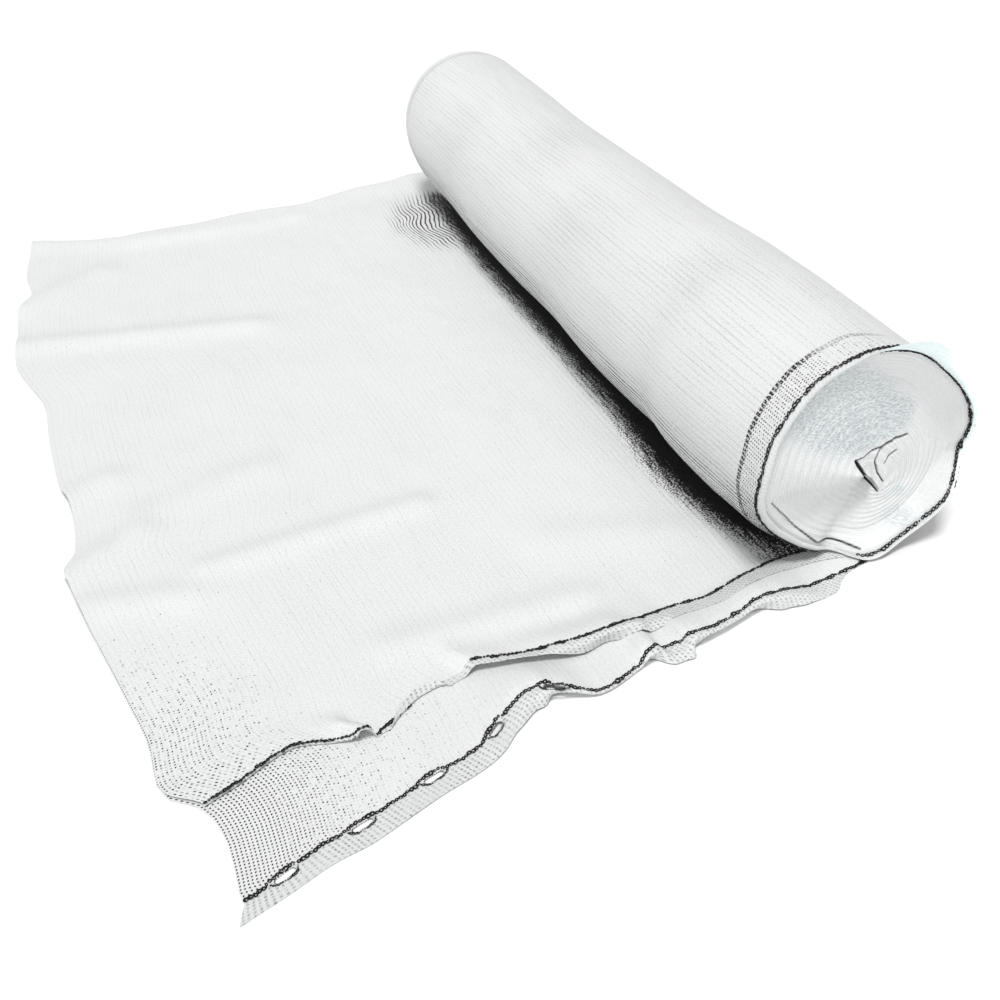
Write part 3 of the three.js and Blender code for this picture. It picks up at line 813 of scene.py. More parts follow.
@dataclass(frozen=True)
class HemFinish:
    """The dense white hem, with rows of short dashes across it where its yarns bind.

    It is plain where "band" is painted, and pale and clear where "thin" is.

    Attributes:
        column, row: from one dash to the next, lengthways and crossways, in metres.
        slant, stagger: how much the columns lean, and how far each is shifted, in rows.
    """

    name: str = "net hem"
    yarn: Colour = (0.67, 0.68, 0.68, 1)
    dash: Colour = (0.24, 0.245, 0.245, 1)
    thin: Colour = (0.84, 0.93, 0.935, 1)
    column: float = 0.0056
    row: float = 0.0044
    slant: float = 0.25
    stagger: float = 0.37
    relief: float = 0.0006
    loops: Grain = Grain(330.0, 330.0, 5.0, 2.0)
    clouds: Grain = Grain(25.0, 25.0, 3.0, 2.0)

    def make(self) -> bpy.types.Material:
        """Builds the material.

        Returns:
            The material.
        """
        sheet = NodeSheet(self.name, {"Specular IOR Level": 0.3, "Sheen Weight": 0.08})
        u, v = sheet.lie()
        columns = (u + v * self.slant) / self.column
        rows = v / self.row + columns.floor() * self.stagger
        across, along = (columns.fract() - 0.5).size(), (rows.fract() - 0.5).size()
        dash = across.eased(0.30, 0.12) * along.eased(0.40, 0.22)
        loops = sheet.grain(u, v, self.loops)
        clouds = sheet.grain(u, v, self.clouds)
        thin = sheet.painted("thin")
        bound = dash * loops.eased(0.3, 0.6) * clouds.eased(0.2, 0.6) * (1.0 - sheet.painted("band"))
        share = bound * 0.85 + (0.5 - clouds) * 0.35 + (loops - 0.5) * 0.6
        colour = sheet.blend(share.within() * (1.0 - thin * 0.7), self.yarn, self.dash)
        colour = sheet.blend(thin, colour, self.thin)
        height = 0.6 - dash * 0.5 + loops * 0.25
        return sheet.dress(colour, 0.6 + loops * 0.15, height, self.relief)


@dataclass(frozen=True)
class EndFinish:
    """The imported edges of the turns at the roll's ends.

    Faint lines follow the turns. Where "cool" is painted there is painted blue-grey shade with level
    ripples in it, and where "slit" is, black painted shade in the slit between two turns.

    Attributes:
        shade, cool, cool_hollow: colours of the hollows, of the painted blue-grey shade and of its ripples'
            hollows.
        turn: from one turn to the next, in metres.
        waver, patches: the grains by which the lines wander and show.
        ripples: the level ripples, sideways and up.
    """

    name: str = "packed turns"
    yarn: Colour = (0.74, 0.75, 0.75, 1)
    shade: Colour = (0.22, 0.24, 0.25, 1)
    cool: Colour = (0.69, 0.715, 0.72, 1)
    cool_hollow: Colour = (0.30, 0.37, 0.39, 1)
    turn: float = 0.0034
    relief: float = 0.0006
    waver: Grain = Grain(12.0, 26.0, 0.0, 2.0)
    patches: Grain = Grain(7.0, 22.0, 6.0, 2.0)
    ripples: Grain = Grain(210.0, 520.0, 3.0, 1.0)
    dots: Grain = Grain(420.0, 520.0, 5.0, 1.0)
    clouds: Grain = Grain(14.0, 18.0, 2.0, 2.0)
    loops: Grain = Grain(520.0, 520.0, 1.0, 2.0)

    def make(self) -> bpy.types.Material:
        """Builds the material.

        Returns:
            The material.
        """
        sheet = NodeSheet(self.name, {"Specular IOR Level": 0.3, "Sheen Weight": 0.08})
        u, v = sheet.lie()
        x, _, z = sheet.object_place()
        wander = sheet.grain(u, v, self.waver) * 3.0
        turns = ((v / self.turn + wander).fract() - 0.5).size().eased(0.16, 0.02)
        patches = sheet.grain(u, v, self.patches).eased(0.42, 0.66)
        ripples = sheet.grain(x, z, self.ripples).eased(0.42, 0.62)
        dots = sheet.grain(u, v, self.dots).eased(0.60, 0.78)
        clouds = sheet.grain(u, v, self.clouds)
        loops = sheet.grain(u, v, self.loops) - 0.5
        lines = turns * patches * 0.20 + dots * 0.25 + (0.5 - clouds) * 0.3 + loops * 0.5
        plain = sheet.blend(lines.within(), self.yarn, self.shade)
        # Painted blue-grey shade over the upper face and a few spots, with darker ripples in it.
        hollows = (ripples * 0.60 + turns * 0.1 + (0.5 - clouds) * 0.5).within()
        cool = sheet.blend(hollows, self.cool, self.cool_hollow)
        painted = sheet.painted("cool")
        mottled = (painted + (clouds - 0.5) * 0.6 * painted).within()
        colour = sheet.blend(mottled, plain, cool)
        # Black painted shade in the slits between turns.
        colour = sheet.blend(sheet.painted("slit"), colour, BLACK)
        height = 0.7 - turns * 0.35 - ripples * 0.3 - dots * 0.2
        return sheet.dress(colour, 0.6 + ripples * 0.2, height, self.relief)


@dataclass(frozen=True)
class YarnFinish:
    """Twisted yarn, with paler patches of wear and painted sheen.

    Attributes:
        yarn, worn: its colour, and its paler colour of wear, with painted sheen where light catches the worn
            fibres.
        fibres, patches: fibres, and patches of wear and painted sheen, to a metre.
    """

    name: str
    yarn: Colour
    worn: Colour
    fibres: float = 900.0
    patches: float = 330.0
    relief: float = 0.0004

    def make(self) -> bpy.types.Material:
        """Builds the material.

        Returns:
            The material.
        """
        sheet = NodeSheet(self.name, {"Specular IOR Level": 0.3})
        place = sheet.object_place()
        fibres = sheet.noise(*(axis * self.fibres for axis in place), 2.0)
        patches = sheet.noise(*(axis * self.patches for axis in place), 2.0).eased(0.56, 0.72)
        # Paler patches: wear, and painted sheen where light catches the fibres.
        colour = sheet.blend(patches, self.yarn, self.worn)
        return sheet.dress(colour, 0.55 + fibres * 0.25, fibres, self.relief)


@dataclass(frozen=True)
class FloorFinish:
    """A plain pale floor, of one colour."""

    colour: Colour = (0.93, 0.93, 0.93, 1)

    def make(self) -> bpy.types.Material:
        """Builds the material."""
        return NodeSheet("floor", {"Roughness": 0.9, "Base Color": self.colour}).material


class Finishes:
    """All finishes of the roll, made once."""

    def __init__(self) -> None:
        """Makes the materials."""
        flat = NetFinish("net lying flat", line=0.05, lane=0.04, grain=0.15)
        tight = NetFinish("net wound tight", line=0.17, lane=0.12, grain=0.17, relief=0.0007)
        black = YarnFinish("black yarn", yarn=BLACK, worn=(0.30, 0.30, 0.30, 1))
        pale = YarnFinish("grey yarn", yarn=(0.10, 0.11, 0.11, 1), worn=(0.62, 0.63, 0.63, 1))
        self.sheet, self.barrel = flat.make(), tight.make()
        self.hem, self.ends = HemFinish().make(), EndFinish().make()
        self.black, self.grey = black.make(), pale.make()
        self.floor = FloorFinish().make()


@dataclass(frozen=True)
class Lie:
    """How the loose end lies on the ground.

    Attributes:
        layer, layer_gap: thickness of a layer, and the least space between the two.
        end_x: where the loose end stops, under the roll.
        seat_from, seat_to: how far from the roll's axis it starts to come free, and is free.
        ridge_reach: how many widths away a ridge is still felt.
        lump_rise: middle height of the small lumps.
        lift_spread: how far inboard the lift of a turned hem reaches.
        fold_space, fold_spread: height at the fold, and how far inboard it reaches.
        lower_share: the lower layer's share in a ridge.
        strip_inboard, hem_width: from a line in to the strip's side, and out to the hem's end.
        bend_radius, over_radius: of a hem's bend under, and the share of it over the top.
        flat_showing, turned_showing: how much of a hem comes before its bend, flat and turned.
        corner_pull, corner_reach: how far the strip's hem runs out past the cut end, and over
            what share of its length.
        hem_left, hem_goes: the share of the strip's hem left under the roll, and where it goes.
        outwards: the way out from the net at the selvedges.
    """

    layer: float = 1.5
    layer_gap: float = 0.4
    end_x: float = 20
    seat_from: float = 45
    seat_to: float = 110
    ridge_reach: float = 3
    lump_rise: float = 1.2
    lift_spread: float = 60
    fold_space: float = 9
    fold_spread: float = 80
    lower_share: float = 0.3
    strip_inboard: float = 12
    hem_width: float = 27
    bend_radius: float = 1.7
    over_radius: float = 0.8
    flat_showing: float = 17
    turned_showing: float = 1
    least_turn: float = 0.001
    corner_pull: float = 16
    corner_reach: float = 0.12
    hem_left: float = 0.3
    hem_goes: Span = (-55, -15)
    outwards: Vector = Vector((0.26, -0.96)).normalized().freeze()
    outer_y: Graph = Graph.of(OUTER_LINE, "x", "y")
    outer_turned: Graph = Graph.of(OUTER_LINE, "x", "turned")
    inner_y: Graph = Graph.of(INNER_LINE, "x", "y")
    inner_turned: Graph = Graph.of(INNER_LINE, "x", "turned")
    inner_hem: Graph = Graph.of(INNER_HEM, "x", "share")
    fold_y: Graph = Graph.of(FOLD_LINE, "x", "y")
    cut_x: Graph = Graph.of(CUT_LINE, "y", "x")

    def freedom(self, x: float) -> float:
        """How free the loose end is: 0 under the roll, 1 clear of it."""
        return smoothstep(-x, self.seat_from, self.seat_to)

    def ridges(self, x: float, y: float) -> float:
        """Adds up the ridges at a place.

        Args:
            x, y: the place on the ground.

        Returns:
            Their height together.
        """
        height = 0.0
        place = Vector((x, y))
        for ridge in RIDGES:
            start = Vector((ridge.from_x, ridge.from_y))
            run = Vector((ridge.to_x, ridge.to_y)) - start
            share = min(max((place - start).dot(run) / run.length_squared, 0.0), 1.0)
            away = (place - start - run * share).length / ridge.width
            if away < self.ridge_reach:
                height += ridge.height * math.exp(-away * away)
        return height

    def softness(self, x: float, y: float) -> float:
        """Height of the small lumps that both layers share, at a place on the ground."""
        lumps = sum(noise.noise(Vector((x / row.x, y / row.y, row.seed))) * row.height for row in LUMPS)
        return max(lumps + self.lump_rise, 0.0) * self.freedom(x)

    def hem_profile(self, from_chain: float, turned: float) -> tuple[float, float]:
        """Finds a point of a hem.

        Args:
            from_chain: its distance from the black line, along the cloth.
            turned: how far the hem is turned under, from 0 to 1, or over, down to -1.

        Returns:
            How far it is out from the line, and how far down.
        """
        over = turned < 0
        turned = abs(turned)
        showing = lerp(self.flat_showing, self.turned_showing, turned)
        angle = max(math.pi * turned, self.least_turn)
        length = math.pi * self.bend_radius * (self.over_radius if over else 1)
        radius = length / angle
        bent = min(max(from_chain - showing, 0.0), length)
        after = max(from_chain - showing - length, 0.0)
        heading = bent / radius
        out = min(from_chain, showing) + radius * math.sin(heading) + after * math.cos(heading)
        down = radius * (1 - math.cos(heading)) + after * math.sin(heading)
        return out, -down if over else down

    def hem_lift(self, turned: float) -> float:
        """How high a selvedge is carried by the hem that is turned under it."""
        return max(self.hem_profile(self.hem_width, turned)[1], 0.0)

    def lower_height(self, x: float, y: float, lift: float, inboard: float) -> float:
        """Finds the middle height of the lower layer.

        Args:
            x, y: the place on the ground.
            lift: how high the turned hem carries the edge there.
            inboard: the place's distance from that edge.

        Returns:
            The height.
        """
        settled = 1 - smoothstep(inboard, 0, self.lift_spread)
        free = self.lower_share * self.ridges(x, y) + lift * settled
        return self.layer / 2 + self.freedom(x) * free + self.softness(x, y)

    def lower_field(self, x: float, y: float) -> float:
        """Middle height of the lower layer at a place given only by its position."""
        inboard = y - self.outer_y.smooth(x) - self.strip_inboard
        return self.lower_height(x, y, self.hem_lift(self.outer_turned.eased(x)), inboard)

    def upper_height(self, x: float, y: float, lift: float, inboard: float) -> float:
        """Finds the middle height of the upper layer.

        Args:
            x, y, lift, inboard: as for the lower layer.

        Returns:
            The height.
        """
        settled = 1 - smoothstep(inboard, 0, self.lift_spread)
        fold = self.fold_y.smooth(x)
        near_fold = smoothstep(y, fold - self.fold_spread, fold)
        rise = (self.fold_space - self.layer - self.layer_gap) * near_fold
        loose = (1 - self.lower_share) * self.ridges(x, y) + lift * settled + rise
        return self.lower_field(x, y) + self.layer + self.layer_gap + self.freedom(x) * loose

    def line_point(self, line: Graph, start_x: float, share: float) -> Vector:
        """A place on a line, by its share of the way to the roll."""
        x = lerp(start_x, self.end_x, share)
        return Vector((x, line.smooth(x)))

    def cut_beyond(self, corner: Vector, share: float) -> float:
        """Finds how far the cut end bays out.

        Args:
            corner: a layer's near corner at the cut end.
            share: how far the place is from it to the fold.

        Returns:
            How far the cut end lies beyond the straight line from the corner to the fold.
        """
        straight = corner.lerp(Vector((FOLD_LINE[0].x, FOLD_LINE[0].y)), share)
        at_corner = self.cut_x.smooth(corner.y) - corner.x
        return self.cut_x.smooth(straight.y) - straight.x - at_corner * (1 - share)

    def layer_place(self, near: Vector, far: Vector, corner: Vector, share: float,
                    along: float) -> Vector:
        """Finds a place on a layer between its near edge and the fold, true to the cut end.

        Args:
            near, far: the layer's ends at this step along it.
            corner: the layer's near corner at the cut end.
            share: how far the place is from near to far.
            along: how far the step is from the cut end to the roll.

        Returns:
            The place on the ground.
        """
        place = near.lerp(far, share)
        place.x += self.cut_beyond(corner, share) * (1 - along) ** 2
        return place


class Station(NamedTuple):
    """One row of points of the loose end's section: its stretch, and its share of it."""

    course: Course
    share: float


class Spot(NamedTuple):
    """A point of the cloth: its place in the model and in the flat cloth, in millimetres."""

    place: Vector
    flat: Vector


def smooth_object(name: str, bm: bmesh.types.BMesh,
                  materials: Sequence[bpy.types.Material]) -> bpy.types.Object:
    """Makes an object of a finished bmesh.

    Args:
        name: the object's name.
        bm: the mesh, which is freed.
        materials: its materials in slot order.

    Returns:
        The object, at the origin, smooth but for its cut edges.
    """
    for face in bm.faces:
        face.smooth = True
    mesh = bpy.data.meshes.new(name)
    bm.to_mesh(mesh)
    bm.free()
    for material in materials:
        mesh.materials.append(material)
    mesh.set_sharp_from_angle(angle=math.radians(55))
    piece = bpy.data.objects.new(name, mesh)
    bpy.context.scene.collection.objects.link(piece)
    return piece


def thicken(bm: bmesh.types.BMesh, thickness: float) -> None:
    """Turns a sheet into a thin wall about its middle.

    Args:
        bm: the sheet.
        thickness: the wall's, in metres.
    """
    bm.normal_update()
    for vert in bm.verts:
        vert.co += vert.normal * (thickness / 2)
    bmesh.ops.solidify(bm, geom=bm.faces[:], thickness=thickness)
    bmesh.ops.recalc_face_normals(bm, faces=bm.faces[:])


def lay_uv(bm: bmesh.types.BMesh, flats: Mapping[int, Vector]) -> None:
    """Lays the cloth's own distances on a mesh as its UV map.

    Args:
        bm: the mesh.
        flats: each point's place in the flat cloth, in metres.
    """
    layer = bm.loops.layers.uv.new("lie")
    for face in bm.faces:
        for loop in face.loops:
            loop[layer].uv = flats[loop.vert.index]


def lower_openness(x: float) -> float:
    """How much of the lower layer's gaps shows at a distance from the roll."""
    return faded(LOWER_OPEN, x, LOWER_OPEN_MOST)


class Piece:
    """What every piece of the roll shares: it rides on the root."""

    def seat(self, piece: bpy.types.Object, slot: Slot, *parts: Part) -> bpy.types.Object:
        """Puts a piece into the model.

        Args:
            piece: the object.
            slot: the record's material slot; not used.
            parts: the nodes that it stands for.

        Returns:
            The object.
        """
        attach(piece, "root")
        if parts:
            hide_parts(*(part.value for part in parts))
        triangles = sum(len(p.vertices) - 2 for p in piece.data.polygons)
        log.info("%s: %d triangles", piece.name, triangles)
        return piece


@dataclass
class LooseNet(Piece):
    """The loose end: two layers joined by the fold, with the upper layer's hem.

    Attributes:
        along: steps from the cut end to the roll.
        lower, fold, upper, hem: steps over each stretch of its section.
        crowding: how much the steps of a layer crowd towards its selvedge.
        line_inset: how far the inner line is drawn in where its hem is turned.
        open_least, open_more: how open the upper mesh is, and how much more at its corner.
        open_cut, open_line: how far from the cut end and from the line that lasts.
        crease: from the roll's axis to where the painted shadow in the crease is full and has ended.
        pull_x, pull_y, pull_wide, pull_long: where the fold's corner pulls the courses.
        pull_core, pull_line_shade: the share of that in full, and how much painted shade darkens its lines.
    """

    lie: Lie
    finishes: Finishes
    along: int = 150
    lower: int = 60
    fold: int = 8
    upper: int = 190
    hem: int = 14
    crowding: float = 1.25
    thickness: float = 1.1
    line_inset: float = 2.2
    open_least: float = 0.01
    open_more: float = 0.34
    open_cut: Span = (10, 200)
    open_line: Span = (40, 420)
    crease: Span = (72, 154)
    pull_x: float = -115
    pull_y: float = 570
    pull_wide: float = 125
    pull_long: float = 210
    pull_core: float = 0.35
    pull_line_shade: float = 2.2

    @cached_property
    def stations(self) -> list[Station]:
        """The section's rows, from the strip round to the upper hem's end."""
        low = [(i / self.lower) ** self.crowding for i in range(self.lower + 1)]
        high = [(1 - i / self.upper) ** self.crowding for i in range(self.upper + 1)]
        rows = [Station(Course.LOWER, share) for share in low]
        rows += [Station(Course.FOLD, i / (self.fold + 1)) for i in range(1, self.fold + 1)]
        rows += [Station(Course.UPPER, share) for share in high]
        rows += [Station(Course.HEM, i / self.hem) for i in range(1, self.hem + 1)]
        return rows

    def section(self, along: float) -> list[Spot]:
        """Works out one section.

        Args:
            along: how far it is from the cut end to the roll, from 0 to 1.

        Returns:
            Its points.
        """
        lie = self.lie
        start_low, start_high = OUTER_LINE[0].x, INNER_LINE[0].x
        low = lie.line_point(lie.outer_y, start_low, along)
        near = low - lie.outwards * lie.strip_inboard
        low_corner = lie.line_point(lie.outer_y, start_low, 0) - lie.outwards * lie.strip_inboard
        far = lie.line_point(lie.fold_y, FOLD_LINE[0].x, along)
        high = lie.line_point(lie.inner_y, start_high, along)
        high_corner = lie.line_point(lie.inner_y, start_high, 0)
        low_lift = lie.hem_lift(lie.outer_turned.eased(low.x))
        turned = lie.inner_turned.eased(high.x)
        high_lift = lie.hem_lift(turned)
        run = along * (lie.end_x - start_low)
        high = high - lie.outwards * (self.line_inset * abs(turned))
        spots: list[Spot] = []
        bottom = Vector((0, 0, 0))
        radius = 0.0
        for course, share in self.stations:
            if course is Course.LOWER:
                place = lie.layer_place(near, far, low_corner, share, along)
                z = lie.lower_height(place.x, place.y, low_lift, place.y - near.y)
                bottom = Vector((place.x, place.y, z))
                top = lie.upper_height(far.x, far.y, 0, far.y - high.y)
                radius = (top - z) / 2
                across = lie.strip_inboard + share * (far - near).length
                spots.append(Spot(bottom, Vector((run, across))))
            elif course is Course.FOLD:
                turn = math.pi * share
                y = bottom.y + radius * math.sin(turn)
                place = Vector((bottom.x, y, bottom.z + radius * (1 - math.cos(turn))))
                spots.append(Spot(place, spots[-1].flat + Vector((0, radius))))
            elif course is Course.UPPER:
                place = lie.layer_place(high, far, high_corner, share, along)
                z = lie.upper_height(place.x, place.y, high_lift, place.y - high.y)
                flat = Vector((run, share * (far - high).length))
                spots.append(Spot(Vector((place.x, place.y, z)), flat))
            else:
                from_chain = share * lie.hem_width * lie.inner_hem.smooth(high.x)
                out, down = lie.hem_profile(from_chain, turned)
                place = high + lie.outwards * out
                ground = lie.lower_field(place.x, place.y) + lie.layer + lie.layer_gap
                z = ground + lie.freedom(place.x) * (high_lift - down)
                spots.append(Spot(Vector((place.x, place.y, z)), Vector((run, -from_chain))))
        return spots

    @cached_property
    def sections(self) -> list[list[Spot]]:
        """All sections from the cut end to the roll."""
        return [self.section(i / self.along) for i in range(self.along + 1)]

    def build(self) -> bpy.types.Object:
        """Makes the loose end.

        Returns:
            The piece.
        """
        rows = len(self.stations) - 1
        bm = bmesh.new()
        bmesh.ops.create_grid(bm, x_segments=self.along, y_segments=rows, size=1)
        flats: dict[int, Vector] = {}
        painted = {name: bm.verts.layers.float.new(name) for name in ("open", "shade", "rib", "pull")}
        hemmed = bm.verts.layers.int.new("course")
        for vert in bm.verts:
            i = round((vert.co.x + 1) / 2 * self.along)
            j = round((vert.co.y + 1) / 2 * rows)
            course, spot = self.stations[j].course, self.sections[i][j]
            vert.co = spot.place * MM
            vert[painted["open"]] = self.openness(course, spot)
            # Painted shadow in the crease under the roll.
            vert[painted["shade"]] = self.shade(course, spot.place)
            vert[painted["pull"]] = self.pull(spot.place)
            # Painted shade in the lines of the courses that the fold's corner pulls.
            vert[painted["rib"]] = self.pull_line_shade * vert[painted["pull"]]
            vert[hemmed] = int(course is Course.HEM)
            flats[vert.index] = spot.flat * MM
        lay_uv(bm, flats)
        for face in bm.faces:
            face.material_index = 1 if all(vert[hemmed] for vert in face.verts) else 0
        bmesh.ops.reverse_faces(bm, faces=bm.faces[:])
        thicken(bm, self.thickness * MM)
        piece = smooth_object("loose_net_cloth", bm, [self.finishes.sheet, self.finishes.hem])
        return self.seat(piece, Slot.NET, Part.LOOSE)

    def openness(self, course: Course, spot: Spot) -> float:
        """Finds how much of the mesh's gaps shows.

        Args:
            course: the stretch of the section.
            spot: the point.

        Returns:
            From 0 to 1.
        """
        if course is Course.LOWER:
            return lower_openness(spot.place.x)
        if course is Course.UPPER:
            near_cut = 1 - smoothstep(spot.flat.x, *self.open_cut)
            near_line = 1 - smoothstep(spot.flat.y, *self.open_line)
            return self.open_least + self.open_more * near_cut * near_line
        return 0.0

    def shade(self, course: Course, place: Vector) -> float:
        """Finds how deep in the painted shadow of the crease under the roll a point lies.

        Args:
            course: the stretch of the section.
            place: the point's place.

        Returns:
            From 0 to 1.
        """
        if course in (Course.HEM, Course.LOWER):
            return 0.0
        near = faded(PAINTED_SHADOW_NEAR, place.y)
        start, end = self.crease[0] * near, self.crease[1] * faded(PAINTED_SHADOW_FAR, place.y) * near
        return (1 - smoothstep(-place.x, start, end)) * faded(PAINTED_SHADOW_ENDS, place.y)

    def pull(self, place: Vector) -> float:
        """How far the fold's corner at the roll pulls the courses out of line, from 0 to 1."""
        across, up = (place.x - self.pull_x) / self.pull_wide, (place.y - self.pull_y) / self.pull_long
        return 1 - smoothstep(math.hypot(across, up), self.pull_core, 1)


@dataclass
class Selvedge(Piece):
    """The lower layer's selvedge: a strip with its hem and the eyelets that show open.

    Attributes:
        hem_from: from the black line out to where the hem's finish starts.
        eyelet_first, eyelet_pitch: from the cut end to the first eyelet, and on to the next.
        eyelet_outboard: from the black line's path out to the eyelets' middles.
        cutter_from, cutter_height: the bottom and the height of what cuts the eyelets.
    """

    lie: Lie
    finishes: Finishes
    along: int = 240
    across: int = 26
    thickness: float = 1.1
    hem_from: float = 0.5
    eyelet_count: int = 5
    eyelet_first: float = 45
    eyelet_pitch: float = 90
    eyelet_length: float = 24
    eyelet_width: float = 7
    eyelet_outboard: float = 2
    eyelet_points: int = 28
    cutter_from: float = -20
    cutter_height: float = 60
    path_steps: int = 400

    def point(self, along: float, from_chain: float) -> Vector:
        """Finds a point of the strip's middle surface.

        Args:
            along: how far it is from the cut end to the roll, from 0 to 1.
            from_chain: its distance from the black line, outwards, along the cloth.

        Returns:
            The point, in millimetres.
        """
        lie = self.lie
        chain = lie.line_point(lie.outer_y, OUTER_LINE[0].x, along)
        turned = lie.outer_turned.eased(chain.x)
        pull = lie.corner_pull / lie.hem_width * (1 - smoothstep(along, 0, lie.corner_reach))
        drawn = lerp(1, lie.hem_left, smoothstep(chain.x, *lie.hem_goes))
        out, down = lie.hem_profile(from_chain, turned)
        place = chain + lie.outwards * (out * drawn if out > 0 else out)
        free = lie.freedom(chain.x) * (lie.hem_lift(turned) - down)
        z = lie.layer / 2 + free + lie.softness(place.x, place.y)
        return Vector((place.x - pull * max(out, 0), place.y, z))

    @cached_property
    def eyelets(self) -> list[tuple[Vector, float]]:
        """Each open eyelet's middle and the angle that it lies at."""
        path = [self.point(i / self.path_steps, 0) for i in range(self.path_steps + 1)]
        graphs = graphs_along(distances(path), path)
        reach = self.eyelet_length / 2
        found = []
        for i in range(self.eyelet_count):
            middle = self.eyelet_first + self.eyelet_pitch * i
            run = read(graphs, middle + reach) - read(graphs, middle - reach)
            centre = read(graphs, middle) + (self.lie.outwards * self.eyelet_outboard).to_3d()
            found.append((centre, math.atan2(run.y, run.x)))
        return found

    def build(self) -> bpy.types.Object:
        """Makes the strip.

        Returns:
            The piece.
        """
        bm = bmesh.new()
        bmesh.ops.create_grid(bm, x_segments=self.along, y_segments=self.across, size=1)
        opened = bm.verts.layers.float.new("open")
        inboard, width = -self.lie.strip_inboard, self.lie.hem_width
        length = self.lie.end_x - OUTER_LINE[0].x
        flats: dict[int, Vector] = {}
        for vert in bm.verts:
            along = (vert.co.x + 1) / 2
            from_chain = lerp(width, inboard, (vert.co.y + 1) / 2)
            vert.co = self.point(along, from_chain) * MM
            vert[opened] = lower_openness(vert.co.x / MM)
            flats[vert.index] = Vector((along * length, -from_chain)) * MM
        lay_uv(bm, flats)
        for face in bm.faces:
            middle = sum(flats[vert.index].y for vert in face.verts) / len(face.verts)
            face.material_index = 1 if middle < -self.hem_from * MM else 0
        thicken(bm, self.thickness * MM)
        piece = smooth_object("selvedge_cloth", bm, [self.finishes.sheet, self.finishes.hem])
        self.cut_eyelets(piece)
        return self.seat(piece, Slot.NET, Part.SELVEDGE)

    def cut_eyelets(self, piece: bpy.types.Object) -> None:
        """Cuts the open eyelets through the strip.

        Args:
            piece: the strip.
        """
        bm = bmesh.new()
        for centre, angle in self.eyelets:
            oval = self.oval(bm)
            made = bmesh.ops.extrude_edge_only(bm, edges=[e for e in bm.edges if e.verts[0] in oval])
            raised = [v for v in made["geom"] if isinstance(v, bmesh.types.BMVert)]
            bmesh.ops.translate(bm, verts=raised, vec=UP * (self.cutter_height * MM))
            bmesh.ops.holes_fill(bm, edges=[e for e in bm.edges if e.is_boundary])
            place = Matrix.Translation(Vector((centre.x, centre.y, self.cutter_from)) * MM)
            turn = Matrix.Rotation(angle, 4, "Z")
            bmesh.ops.transform(bm, matrix=place @ turn, verts=oval + raised)
        bmesh.ops.recalc_face_normals(bm, faces=bm.faces[:])
        cutters = smooth_object("eyelet_cutters", bm, [])
        cut = piece.modifiers.new("eyelets", "BOOLEAN")
        cut.operation = "DIFFERENCE"
        cut.solver = "EXACT"
        cut.object = cutters
        bpy.context.view_layer.update()
        evaluated = piece.evaluated_get(bpy.context.evaluated_depsgraph_get())
        finished = bpy.data.meshes.new_from_object(evaluated)
        piece.modifiers.clear()
        piece.data = finished
        bpy.data.objects.remove(cutters)

    def oval(self, bm: bmesh.types.BMesh) -> list[bmesh.types.BMVert]:
        """Makes a long oval of an eyelet's sizes, flat and centred.

        Args:
            bm: the mesh that it is made in.

        Returns:
            Its points in order.
        """
        radius = self.eyelet_width / 2
        made = bmesh.ops.create_circle(bm, segments=self.eyelet_points, radius=radius * MM)["verts"]
        half = (self.eyelet_length - self.eyelet_width) / 2 * MM
        for vert in made:
            vert.co.x += half if vert.co.x > 0 else -half
        return made


@dataclass
class Run:
    """A path on the cloth that a chain is laid along.

    Attributes:
        outwards: the direction that stands off the cloth at each point.
        scale, raised: size of the stitches, and height of their middle over the path.
        look: how far before and behind a place its heading is taken.
    """

    points: Sequence[Vector]
    outwards: Sequence[Vector]
    scale: float = 1.0
    raised: float = 1.3
    seed: float = 0.0
    look: float = 1.5

    @cached_property
    def at(self) -> tuple[float, ...]:
        """How far along the path each point is."""
        return distances(self.points)

    @cached_property
    def graphs(self) -> tuple[list[Graph], list[Graph]]:
        """The path and the outwards directions, by the distance along it."""
        return graphs_along(self.at, self.points), graphs_along(self.at, self.outwards)

    @property
    def length(self) -> float:
        """The path's length."""
        return self.at[-1]

    def place(self, along: float, across: float, off: float) -> Vector:
        """Finds a place beside the path.

        Args:
            along: distance along the path.
            across: distance to its side.
            off: distance off the cloth.

        Returns:
            The place, in millimetres.
        """
        path, outwards = self.graphs
        heading = read(path, along + self.look) - read(path, along - self.look)
        out = read(outwards, along).normalized()
        side = out.cross(heading).normalized()
        beyond = min(along, 0.0) + max(along - self.length, 0.0)
        return read(path, along) + heading.normalized() * beyond + side * across + out * off


